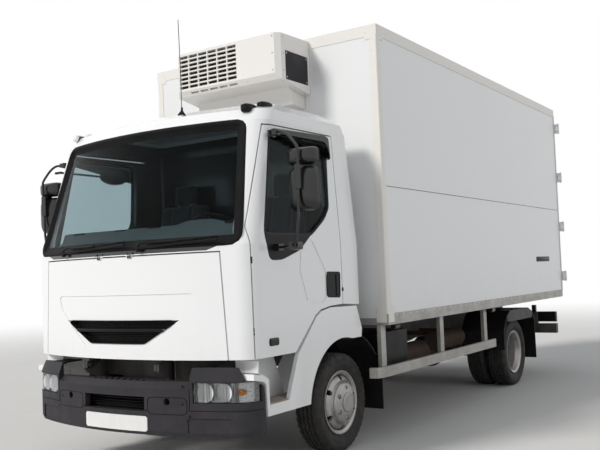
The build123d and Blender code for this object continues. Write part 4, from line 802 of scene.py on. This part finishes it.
def make_door_trim():
    outer = fan(rounded(DOOR_TRIM, 45), DOOR_MIDDLE, 200)
    inner = fan(rounded(WINDOW, 60), DOOR_MIDDLE, 200)
    liner = rounded(HANDLE, 16)
    floor = [(y * 0.7 - 45, z * 0.7 + 386) for y, z in liner]
    for side in SIDES:
        form = Form(side)
        row = partial(form.row, on_cab_side)
        form.grid([row(outer, -1), row(outer, 3, -5), row(inner, 3), row(inner, -6, -14),
                   row(inner, -16, -16)], closed=True)
        form.grid([row(liner, 0, 7), row(liner, 3, 5), row(liner, 3),
                   row(liner, 3 - HANDLE_DEPTH, -3), row(floor, 1 - HANDLE_DEPTH)], 0, True, True)
        form.slab(panel(*GRIP, 10), on_cab_side, (4 - HANDLE_DEPTH, 3, (6, -4)))
        form.build("door_trim_", "cab_door_", "gloss_black", "black_plastic", 30)
        form = Form(side)
        form.slab(rounded(SHADE, 20), on_cab_side, (2, 20, (26, -5)))
        form.build("wind_deflector_", "cab_door_", "smoked", "black_plastic", 30)
        form = Form(side)
        form.slab(oval(LOCK_AT, 13, 16), on_cab_side, (-1, 3, (5, -3)))
        form.slab(oval(LOCK_AT, 2, 7), on_cab_side, (4, 6), paint=1)
        form.build("door_lock_", "cab", "gloss_black stainless", "black_plastic", 30)
        form = Form(side)
        lens = panel(*MARKER, 12)
        form.slab(lens, on_cab_side, ((-1, 4), (3, 4), 4), capped=False)
        form.slab(lens, on_cab_side, (1, 6, (10, -6)), paint=1)
        form.build("side_marker_", "cab", "gloss_black smoked", "lamp_lens", 30)


# Grille: mesh behind the hatch's opening, narrower at its foot, with a bar and a lip in front
GRILLE_Z, GRILLE_HALF, GRILLE_FACE_Z = (932, 1106), (268, 560), 1000
GRILLE_BACK, SCREEN_BACK = 42, 58
MESH_HALF, GRILLE_BARS, GRILLE_ROWS = 552, 72, 14
WIRE = ((40, -1.5), (40, 1.5), (48, 1.5), (48, -1.5))
OPENING = [(-552, 1098), (552, 1098), (262, 940), (-262, 940)]
OPENING_LIP = ((3, 3), (-2, 2.5), -3, (-2, -2), (26, -3))
BAR_Z, BAR_SECTION = 1030, ((-4, 11), (-7, 4), (-5, -9), (4, -12), (24, -11), (24, 11))


def grille_half(z):
    (z0, z1), (half0, half1) = GRILLE_Z, GRILLE_HALF
    return half0 + (half1 - half0) * (z - z0) / (z1 - z0)


def make_grille():
    form = Form()
    face = partial(cab_front, z=GRILLE_FACE_Z)
    (z0, z1), (half0, half1) = GRILLE_Z, GRILLE_HALF
    for x in spread(-MESH_HALF, MESH_HALF, GRILLE_BARS):
        foot = max(z0, z0 + (abs(x) - half0) * (z1 - z0) / (half1 - half0))
        y = face(x) + GRILLE_BACK
        form.box(x - 1.5, x + 1.5, y, y + 6, foot, z1)
    for z in spread(z0, z1, GRILLE_ROWS):
        form.bar(spread(-grille_half(z), grille_half(z), 24), face, z, WIRE)
    form.sheet(range(-560, 561, 80), face, SCREEN_BACK, z0 - 8, z1 + 8)
    form.build("grille_mesh", "hatch", "black_plastic", "black_plastic", 30)
    form = Form()
    half = grille_half(BAR_Z) - 8
    form.bar(spread(-half, half, 30), partial(cab_front, z=BAR_Z), BAR_Z, BAR_SECTION)
    opening = fan(rounded(OPENING, 10), (0, 1040), 160)
    form.slab(opening, on_cab_front, OPENING_LIP, capped=False)
    form.build("grille_frame", "hatch", "black_plastic", "black_plastic", 30)


# Bumper: blank plate, studs and screws; the stud rows are depth, first and last place, steps
PLATE, PLATE_RINGS = (-282, 312, 358, 461), (0.94, 0.88, 0.66, 0.44, 0.22, 0.01)
STUD_ROWS, STUD_Z = ((58, -240, 235, 8), (108, -170, 145, 5)), 690
BUMPER_STUD = [(-2, 12), (3, 12), (6, 9), (7, 5)]
SCREWS = ((592, 668), (588, 548), (-592, 668), (-588, 548), (300, 500), (-300, 500), (640, 470),
          (-640, 470))


def make_bumper_trim():
    form = Form()
    x0, x1, z0, z1 = PLATE
    mx, mz = (x0 + x1) / 2, (z0 + z1) / 2
    plate = fan(panel(*PLATE, 14), (mx, mz), 140)
    row = partial(form.row, on_bumper)
    form.grid([row(plate, -6), row(plate, 1.6), row(plate, 2.6, -2.5)]
              + [row([(mx + (x - mx) * share, mz + (z - mz) * share) for x, z in plate], 2)
                 for share in PLATE_RINGS], closed=True)
    form.build("front_plate_blank", "chassis", "plate_white", "cab_paint", 60)
    form = Form()
    for depth, first, last, steps in STUD_ROWS:
        for x in spread(first, last, steps):
            form.turned(BUMPER_STUD, (x, bumper_front(x) + depth, STUD_Z), UP, steps=20)
    for x, z in SCREWS:
        form.turned([(-1, 9), (1, 9), (3, 6)], (x, bumper_front(x), z), AHEAD, steps=18)
    form.build("bumper_studs", "chassis", "black_plastic", "charcoal_plastic", 40)


# Entry steps: perforated treads laid on top of the step's floor, found from above
TREAD_X, TREAD_Y, TREAD_ABOVE_Z = (882, 1050), (-1000, -560), 600
HOLES_ACROSS, HOLES_ALONG = 5, 11
COLLAR, HOLE = [(0, 15), (3, 14), (3, 9), (0.4, 8)], [(0.2, 8), (0.6, 7.5)]


def make_step_treads():
    tree = skin("steps")
    for side in SIDES:
        found = [(y, touch(tree, (side * sum(TREAD_X) / 2, y, TREAD_ABOVE_Z), DOWN))
                 for y in spread(*TREAD_Y, 8)]
        level = max(place[2] for _, place in found if place)
        flat = [y for y, place in found if place and abs(place[2] - level) < 2]
        y0, y1 = flat[0], flat[-1]
        form = Form(side)
        form.slab(panel(*TREAD_X, y0, y1, 14), across_z, (level - 2, level + 6, (level + 8, -3)))
        for i in range(HOLES_ACROSS):
            x = TREAD_X[0] + (TREAD_X[1] - TREAD_X[0]) * (i + 0.5) / HOLES_ACROSS
            for j in range(HOLES_ALONG):
                y = y0 + (y1 - y0) * (j + 0.5 + 0.25 * (i % 2)) / (HOLES_ALONG + 0.25)
                form.turned(COLLAR, (x, y, level + 7.5), UP, steps=14)
                form.turned(HOLE, (x, y, level + 7.5), UP, paint=1, steps=14)
        form.build("step_tread_", "cab", "floor_grip black_plastic", "black_plastic")


# Screen behind the bumper's air inlet
INLET, INLET_DEPTH = (-400, 310, 476, 606), 96
LOUVRE = ((96, -3), (74, -8), (72, -5), (96, 3))


def make_inlet_screen():
    form = Form()
    x0, x1, z0, z1 = INLET
    across = spread(x0, x1, 18)
    for depth in (INLET_DEPTH, INLET_DEPTH + 4):
        form.sheet(across, bumper_front, depth, z0, z1)
    for z in spread(z0 + 14, z1 - 14, 5):
        form.bar(across, bumper_front, z, LOUVRE)
    form.build("inlet_screen", "chassis", "black_plastic", "charcoal_plastic", 30)


# Lamps in the bumper: the bowls are place and radius
LAMP_Z, LAMP_CENTRE, LAMP_REACH = (560, 686), (700, -1050), 900
LENS_DEPTHS, TRAY_DEPTH, LENS_CROWN = (3, 7), 52, 2.5
BOWLS = ((742, 61), (868, 58))
BOWL_PROFILE = ((0, 1, -1), (14, 0.86, 0), (26, 0.62, 0), (33, 0.3, 0))
BULB, SIGNAL = [(30, 9), (8, 9), (2, 6), (0, 1)], [(20, 22), (-6, 24), (-24, 17), (-32, 2)]
SIGNAL_AT, DIVIDER_X = (958, -1172), 938


def lamp_line(tree, side, z):
    """Front line of the lamp body at a height, from the middle round to the side."""
    line = []
    for angle in map(radians, spread(-12, 88, 55)):
        dx, dy = side * sin(angle), -cos(angle)
        start = (side * LAMP_CENTRE[0] + dx * LAMP_REACH, LAMP_CENTRE[1] + dy * LAMP_REACH, z)
        found = touch(tree, start, (-dx, -dy, 0))
        if found:
            line.append(Vector(found[:2]))
    return line


def sunk(line, inside, depth, z):
    """Line at a height, moved towards a place inside."""
    return [(*(p + (inside - p).normalized() * depth), z) for p in line]


def make_headlamps():
    tree = skin("headlamps")
    z0, z1 = LAMP_Z
    middle_z = (z0 + z1) / 2
    levels = [(z, LENS_CROWN * (1 - share ** 4))
              for z, share in zip(spread(z0, z1, 8), spread(-1, 1, 8))]
    for side in SIDES:
        inside = Vector((side * LAMP_CENTRE[0], LAMP_CENTRE[1]))
        line = lamp_line(tree, side, middle_z)
        outer, inner = ([sunk(line, inside, depth - crown, z) for z, crown in levels]
                        for depth in LENS_DEPTHS)
        tray = [sunk(line, inside, TRAY_DEPTH, z) for z, _ in levels]
        form = Form(side)
        form.grid(outer)
        form.grid(inner)
        form.grid([border(outer), border(inner)], closed=True)
        form.build("headlamp_lens_", "chassis", "lamp_lens", "lamp_lens", 50)
        form = Form(side)
        form.grid(tray)
        form.grid([border(inner), border(tray)], closed=True)
        for x, r in BOWLS:
            place = (x, bumper_front(x) + 30, middle_z)
            bowl = [(-8, r), *((off, r * share + less) for off, share, less in BOWL_PROFILE)]
            form.turned(bowl + [(35, 0.5)], place, BACK, 1, 36)
            form.turned([(-6, r + 3), (-10, r + 2), (-10, r), (-6, r)], place, BACK, 1, 36, True)
            form.turned(BULB, place, BACK, 2, 20)
        form.turned(SIGNAL, (*SIGNAL_AT, middle_z), (-0.5, 0.86, 0), paint=3, steps=24)
        y = bumper_front(DIVIDER_X)
        form.box(DIVIDER_X - 3, DIVIDER_X + 3, y + 14, y + 60, z0 + 2, z1 - 2)
        form.build("headlamp_body_", "chassis", "lamp_shell reflector bulb amber", "lamp_lens", 40,
                   replaces=["headlamps"] if side > 0 else ())


# Top of the dashboard: depths behind the windscreen's foot, or places of y, with heights
DASH_HALF, DASH_FACE_Z = 880, 1610
DASH_FRONT = ((48, 1590), (62, 1630), (150, 1690), (60, 1562))
DASH_BACK = ((-1040, 1752), (-1000, 1762), (-988, 1750), (-984, 1720), (-984, 1564))
BINNACLE, BINNACLE_RISE, BINNACLE_FROM_Z = (300, 700), 26, 1700
VENTS = (-700, -250, 100, 820)


def hood(x):
    """Rise of the instruments' hood over the dashboard."""
    x0, x1 = BINNACLE
    return BINNACLE_RISE * max(0, 1 - abs(2 * (x - x0) / (x1 - x0) - 1) ** 4)


def make_dash_top():
    form = Form()
    across = spread(-DASH_HALF, DASH_HALF, 44)
    front = [[(x, cab_front(x, DASH_FACE_Z) + depth, z) for x in across]
             for depth, z in DASH_FRONT]
    back = [[(x, y, z + hood(x) * (z > BINNACLE_FROM_Z)) for x in across] for y, z in DASH_BACK]
    rows = front[:-1] + back + front[-1:]
    form.grid(rows + rows[:1])
    for end in (0, -1):
        form.add([row[end] for row in rows], [range(len(rows))])
    for x in VENTS:
        form.box(x - 60, x + 60, -1050, -1040, 1738, 1757, paint=1)
    form.build("dash_top", "cab", "dash_grey black_plastic", "interior_plastic", 40, 2)


# Seats: middle and half width. The pads' side outlines are (y, z)
SEATS = (("driver", 520, 245), ("passenger", -560, 295))
CUSHION = [(-596, 1284), (-596, 1402), (-64, 1408), (-64, 1284)]
SEAT_BACK = [(-128, 1384), (-38, 1364), (88, 2018), (2, 2036)]
HEAD_REST, HEAD_HALF = [(4, 2012), (80, 2004), (103, 2196), (37, 2206)], 130
BASE_Y, BASE_LEVELS, TUNNEL_HALF = (-512, -108), (977, (1268, -14), (1284, -30)), 402
CHANNELS, CHANNEL_DEPTH, CHANNEL_WIDE = (-0.42, 0.42), 7, 11
SWELL, VOXEL = 0.014, 0.009      # in metres
CLOTH = dict(quality=4, mass=0.3, tension_stiffness=12, compression_stiffness=12,
             use_pressure=True, uniform_pressure_force=4)
CLOTH_FRAMES = 20


def evaluated(piece):
    """Mesh of a piece with its modifiers."""
    return bpy.data.meshes.new_from_object(
        piece.evaluated_get(bpy.context.evaluated_depsgraph_get()))


def swollen(piece):
    """Blows the pad up like stuffed cloth, no point further than SWELL."""
    remesh = piece.modifiers.new("remesh", "REMESH")
    remesh.mode = "VOXEL"
    remesh.voxel_size = VOXEL
    fine = evaluated(piece)
    piece.modifiers.clear()
    piece.data = fine
    still = [v.co.copy() for v in fine.vertices]
    cloth = piece.modifiers.new("cloth", "CLOTH")
    for key, value in CLOTH.items():
        setattr(cloth.settings, key, value)
    cloth.settings.effector_weights.gravity = 0
    cloth.point_cache.frame_start, cloth.point_cache.frame_end = 1, CLOTH_FRAMES
    for step in range(1, CLOTH_FRAMES + 1):
        bpy.context.scene.frame_set(step)
    blown = evaluated(piece)
    piece.modifiers.clear()
    bpy.context.scene.frame_set(1)
    for vertex, moved, start in zip(fine.vertices, blown.vertices, still):
        way = moved.co - start
        if way.length > SWELL:
            way *= SWELL / way.length
        vertex.co = start + way


def sewn(piece, middle, half, face):
    """Presses sewn channels into the side of a pad that looks the way of face."""
    for vertex in piece.data.vertices:
        for share in CHANNELS:
            off = (vertex.co.x * 1000 - middle - share * half) / CHANNEL_WIDE
            if abs(off) < 3 and vertex.normal.dot(Vector(face)) > 0.4:
                vertex.co -= vertex.normal * (CHANNEL_DEPTH / 1000 * exp(-off * off))
    piece.data.update()


def make_pad(name, outline, middle, half, face=None):
    """Seat pad: a side outline carried across, rounded and blown up."""
    form = Form()
    levels = [(middle + (half - 10) * share, -7 - 16 * abs(share) ** 6)
              for share in spread(-1, 1, 12)]
    form.slab(rounded(outline, 34), across_x, levels)
    piece = form.build(name, "cab", "seat_fabric", "seat_fabric", 80)
    swollen(piece)
    if face:
        sewn(piece, middle, half, face)
    soft = piece.modifiers.new("subdivision", "SUBSURF")
    soft.levels = soft.render_levels = 1
    piece.data.polygons.foreach_set("use_smooth", [True] * len(piece.data.polygons))


def make_seats():
    form = Form()
    for name, middle, half in SEATS:
        form.side = 1 if middle > 0 else -1
        inner, outer = max(abs(middle) - half + 12, TUNNEL_HALF), abs(middle) + half - 12
        form.slab(panel(inner, outer, *BASE_Y, 40), across_z, BASE_LEVELS)
        for post in (-70, 70):
            x = form.side * (middle + post)
            form.tube([(x, 22, 1985), (x, 48, 2070)], 7, paint=1)
        make_pad(f"seat_cushion_{name}", CUSHION, middle, half, UP)
        make_pad(f"seat_back_{name}", SEAT_BACK, middle, half - 12, AHEAD)
        make_pad(f"seat_head_{name}", HEAD_REST, middle, HEAD_HALF)
    form.build("seat_frames", "cab", "interior_plastic stainless", "interior_plastic", 40,
               replaces=["seats"])


# Roof lamps of the left side, and the aerial
ROOF_LAMPS = ((866, -868, 2549), (900, -725, 2580))
ROOF_LENS = [(0, 17), (3, 17), (6, 13), (7, 2)]
AERIAL_FOOT = [(0, 30), (6, 29), (22, 17), (34, 9), (60, 7)]
AERIAL_PATH = [(315, -950, 2570), (312, -945, 2640), (300, -932, 2900), (280, -915, 3180),
               (270, -906, 3288)]


def make_roof_fittings():
    form = Form()
    for x, y, z in ROOF_LAMPS:
        rows = []
        for k in range(13):
            turn = pi * k / 12
            r = sin(turn) ** 0.32 if 0 < k < 12 else 0.02
            rows.append([(x + 35 * r * dx, y - 67 * cos(turn), z - 6 + 33 * r * dz)
                         for dx, dz in squircle(24, 0.5)])
        form.grid(rows, 0, True, True)
        form.turned(ROOF_LENS, (x + 14, y - 58, z + 6), (0.35, -0.85, 0.25), paint=1, steps=24)
    form.build("roof_lamps", "cab", "gloss_black lamp_lens", "black_plastic", 60)
    form = Form()
    form.turned(AERIAL_FOOT, (315, -950, 2562), (0, 0.08, 1), steps=28)
    form.tube(AERIAL_PATH, 2.6)
    form.build("aerial", "cab", "gloss_black", "black_plastic", 50)


# Mirrors: two curved housings on an arm that passes in front of them. A housing is its foot,
# its top and how much its top swells; a profile is depth and share of the size
MIRROR_X, HOUSING_Y = (1164, 1396), (-897, -817)
MIRROR_PATHS = (((1080, -862, 2348), (1170, -896, 2352), (1284, -916, 2236), (1290, -916, 2200),
                 (1290, -914, 2100)),
                ((1284, -912, 1946), (1282, -914, 1800), (1264, -912, 1680), (1240, -900, 1572),
                 (1150, -880, 1562), (1080, -868, 1562)))
HOUSINGS = ((2106, 2226, 0.3), (1796, 2100, 0))
HOUSING_PROFILE = ((0, 0.12), (0.02, 0.36), (0.08, 0.6), (0.2, 0.8), (0.42, 0.93), (0.7, 0.99),
                   (1, 1))
MIRROR_BOXES = ((1275, 1300, -907, -837, 2086, 2122), (1050, 1104, -888, -838, 2332, 2366),
                (1040, 1056, -900, -826, 2322, 2366), (1062, 1098, -898, -840, 1540, 1586))
MIRROR_RIB, MIRROR_FOOT = (1258, 1310, 1938, 2108), (1184, 1262, 1540, 1592)
MIRROR_BOLT = [(-3, 17), (10, 17), (13, 12)]
# Kerb mirror beside the right door's window
KERB_MIDDLE, KERB_HALF, KERB_X = (-264.5, 2296), (152, 64.5), (1106, 1166)
KERB_PROFILE = ((0, 0.8), (0.06, 0.93), (0.3, 1), (0.7, 0.99), (0.92, 0.9), (1, 0.7))


def make_housing(form, z0, z1, swell):
    """Rounded shell, deepest in its middle and flat at the back, where its glass is."""
    (x0, x1), (front, back), side = MIRROR_X, HOUSING_Y, form.side
    mx, mz = (x0 + x1) / 2, (z0 + z1) / 2
    rows = []
    for depth, share in HOUSING_PROFILE:
        row = []
        for px, pz in squircle(64, 0.42):
            px, pz = px * share, pz * share
            fall = 10 * (1 - pz) * swell + 7 * px * px
            flare = 1 + 0.05 * max(0, -pz - 0.55) * (1 - swell)
            row.append((side * (mx + (x1 - x0) / 2 * px * flare),
                        front + fall * (1 - depth) + (back - front) * depth,
                        mz + (z1 - z0) / 2 * pz))
        rows.append(row)
    form.grid(rows, 0, True, True)
    lip = [(x, back - 6, z) for x, _, z in rows[-1]]
    edge = [(side * mx + (x - side * mx) * 1.012, y, z) for x, y, z in lip]
    form.grid([lip, edge, *([(x, y + 5, z) for x, y, z in row] for row in (edge, lip))],
              closed=True)


def make_kerb_mirror(form):
    (y, z), (x0, x1) = KERB_MIDDLE, KERB_X
    rows = [form.row(across_x, oval(KERB_MIDDLE, *(half * size for half in KERB_HALF), 48),
                     x0 + (x1 - x0) * share) for share, size in KERB_PROFILE]
    form.grid(rows, 0, True, True)
    form.tube([(1135, -855, z), (1135, y - 120, z)], 9, sides=16)
    form.box(1125, 1195, -865, -845, z - 9, z + 9)


def make_mirrors():
    (x0, x1), (front, back) = MIRROR_X, HOUSING_Y
    for side in SIDES:
        form, pane = Form(side), Form(side)
        for z0, z1, swell in HOUSINGS:
            make_housing(form, z0, z1, swell)
            pane.slab(panel(x0 + 14, x1 - 14, z0 + 14, z1 - 14, 26), across_y,
                      (back - 3, back + 1.5))
        for path in MIRROR_PATHS:
            form.tube(smooth_path(path), 9.5, sides=16)
        form.slab(panel(*MIRROR_RIB, 12), across_y, (front + 16, front - 20, (front - 25, -5)))
        for place in MIRROR_BOXES:
            form.box(*place)
        form.slab(panel(*MIRROR_FOOT, 16), across_y, (-850, -908))
        form.turned(MIRROR_BOLT, (1236, -908, 1572), AHEAD, steps=24)
        if side < 0:
            make_kerb_mirror(form)
        form.build("mirror_shell_", "cab_door_", "mirror_black", "black_plastic", 40, 2,
                   ["mirror_"])
        pane.build("mirror_glass_", "cab_door_", "mirror_silver", "stainless")


# Box: outer half width, front and rear, foot and top, then its rail, panels and fittings
BOX_HALF, BOX_Y0, BOX_Y1, BOX_Z0, BOX_Z1 = 1210, 424, 5333, 1024, 3387
RAIL_Z0, POST, PANEL_X, PANEL_SEAM_Z = 935, 66, 1204, 2080
RIVET_PITCH, CORNER_CAST = 118, 120
PLAQUE = (4330, 4840, 1400, 1460)
BOX_MARKERS, MARKER_Z = (584, 2791), 915


def rivet(form, place, way, r=7, paint=0):
    form.turned([(-1, r), (1.2, r), (3, r * 0.6), (3.6, r * 0.2)], place, way, paint, steps=12)


def make_box_fittings():
    heights = spread(BOX_Z0 + 60, BOX_Z1 - 90, 18)
    lengths = spread(BOX_Y0 + 40, BOX_Y1 - 40, int((BOX_Y1 - BOX_Y0 - 80) / RIVET_PITCH))
    x, inner, edge = BOX_HALF - 0.5, BOX_HALF - CORNER_CAST, BOX_Y0 + CORNER_CAST
    corner = rounded([(inner, BOX_Y0 - 1), (BOX_HALF + 1.5, BOX_Y0 - 1), (BOX_HALF + 1.5, edge)],
                     22)
    corner += [(BOX_HALF - 12, edge), (BOX_HALF - 12, BOX_Y0 + 14), (inner, BOX_Y0 + 14)]
    for side in SIDES:
        form = Form(side)
        for y in lengths:
            for z in (BOX_Z0 - 14, BOX_Z1 - 60):
                rivet(form, (x, y, z), OUT)
        for y in (BOX_Y0 + 46, BOX_Y1 - 24):
            for z in heights:
                rivet(form, (x, y, z), OUT, 6)
        for z in heights:
            rivet(form, (BOX_HALF - 46, BOX_Y0 + 0.5, z), AHEAD, 6)
        form.build("box_rivets_", "chassis", "box_post", "box_post", 50)
        form = Form(side)
        y0, y1, z = BOX_Y0 + POST, BOX_Y1 - 40, PANEL_SEAM_Z
        form.box(PANEL_X, PANEL_X + 2.5, y0, y1, z - 16, z + 16)
        form.box(PANEL_X - 1, PANEL_X + 2.6, y0, y1, z - 20, z - 16, paint=1)
        form.build("panel_seam_", "chassis", "box_panel charcoal_plastic", "box_panel", 35, 1)
        form = Form(side)
        for z0 in (BOX_Z1 - CORNER_CAST, RAIL_Z0 + 20):
            z1 = min(z0 + CORNER_CAST, BOX_Z1 - 1)
            form.slab(corner, across_z, (z0, z1))
            rivet(form, (inner + 18, BOX_Y0 - 1, (z0 + z1) / 2), AHEAD, 9)
            rivet(form, (BOX_HALF + 1, edge - 18, (z0 + z1) / 2), OUT, 9)
        form.build("box_corners_", "chassis", "box_post", "box_post", 40, 2)
        form = Form(side)
        for y in BOX_MARKERS:
            lens = panel(y - 42, y + 42, MARKER_Z - 17, MARKER_Z + 17, 12)
            form.slab(lens, across_x, ((BOX_HALF - 40, 5), (BOX_HALF - 6, 5), BOX_HALF - 6))
            form.slab(lens, across_x, (BOX_HALF - 6, (BOX_HALF + 3, -4)), paint=1)
        form.build("box_markers_", "chassis", "black_plastic red_lens", "lamp_lens")
        form = Form(side)
        form.slab(panel(*PLAQUE, 8), across_x, (PANEL_X - 1, PANEL_X + 3, (PANEL_X + 4, -3)))
        form.build("side_plaque_", "chassis", "gloss_black", "black_plastic")


# Cooling unit: outlet panel, screws and dark core behind its grille
UNIT_HALF, UNIT_Y0, UNIT_Z0, UNIT_Z1 = 557, -35, 3014, 3345
UNIT_OUTLET = (65, 397, 2975, 3213)
UNIT_CORE_Y, CORE_END_X, FINS, FIN_PITCH = 25, 160, 85, 8


def make_unit_details():
    form = Form()
    y0, y1, z0, z1 = UNIT_OUTLET
    form.slab(panel(*UNIT_OUTLET, 12), across_x,
              (UNIT_HALF - 8, UNIT_HALF - 3, (UNIT_HALF - 2, -3)))
    for y in (y0 + 19, y1 - 19):
        for z in (z0 + 19, z1 - 19):
            rivet(form, (UNIT_HALF - 2, y, z), OUT, 8, paint=1)
    form.build("unit_side_panel", "chassis", "charcoal_plastic stainless", "charcoal_plastic")
    form = Form()
    for x in range(-450, 451, 225):
        rivet(form, (x, UNIT_Y0 + 20, 2992), (0, -0.8, -0.6))
    for z in (3040, 3180, 3320):
        rivet(form, (UNIT_HALF - 60, UNIT_Y0, z), AHEAD)
        rivet(form, (UNIT_HALF, UNIT_Y0 + 70, z), OUT)
    for side in SIDES:
        for y in (60, 220, 380):
            rivet(form, (side * (UNIT_HALF - 24), y, 2967 - (y / 424) * 70), (0, -0.17, -1))
    form.build("unit_screws", "chassis", "stainless", "stainless", 50)
    form = Form()
    y = UNIT_CORE_Y
    form.box(30 - UNIT_HALF, CORE_END_X, y, y + 20, UNIT_Z0, UNIT_Z1 - 22)
    for i in range(FINS):
        x = 34 - UNIT_HALF + i * FIN_PITCH
        form.box(x, x + 1.5, y - 6, y, UNIT_Z0 + 4, UNIT_Z1 - 26)
    form.build("unit_core", "chassis", "engine_iron", "engine_iron", 30)


# Rear: lamps and blank plate. The cells are first and last share of the width, and finish
TAIL_X, TAIL_Y, TAIL_Z = (760, 1120), 5310, (622, 742)
TAIL_CELLS = ((0.02, 0.36, 2), (0.38, 0.6, 1), (0.62, 0.8, 3), (0.82, 0.98, 1))
TAIL_BRACKET = (820, 870, TAIL_Y - 66, TAIL_Y - 20, 702, 830)
REAR_PLATE = (-260, 260, 500, 588)


def make_tail():
    (x0, x1), (z0, z1), y = TAIL_X, TAIL_Z, TAIL_Y
    for side in SIDES:
        form = Form(side)
        form.slab(panel(*TAIL_X, *TAIL_Z, 18), across_y, (y - 60, y, (y + 4, -5)))
        for first, last, paint in TAIL_CELLS:
            lens = panel(x0 + (x1 - x0) * first, x0 + (x1 - x0) * last, z0 + 9, z1 - 9, 12)
            form.slab(lens, across_y, (y + 2, y + 12, (y + 17, -7)), paint)
        form.box(*TAIL_BRACKET)
        form.build("tail_lamp_", "chassis", "black_plastic red_lens amber lamp_lens", "lamp_lens")
    form = Form()
    form.slab(panel(*REAR_PLATE, 12), across_y, (y - 8, y + 2, (y + 3, -3)))
    form.build("rear_plate_blank", "chassis", "plate_white", "cab_paint", 40)


for make in (paint_nodes, make_wheels, make_seal, make_wiper_details, make_door_trim, make_grille,
             make_bumper_trim, make_step_treads, make_inlet_screen, make_headlamps, make_dash_top,
             make_seats, make_roof_fittings, make_mirrors, make_box_fittings, make_unit_details,
             make_tail, make_camera, make_world, make_lamps, make_floor):
    make()

scene = bpy.context.scene
scene.view_settings.view_transform = "Standard"
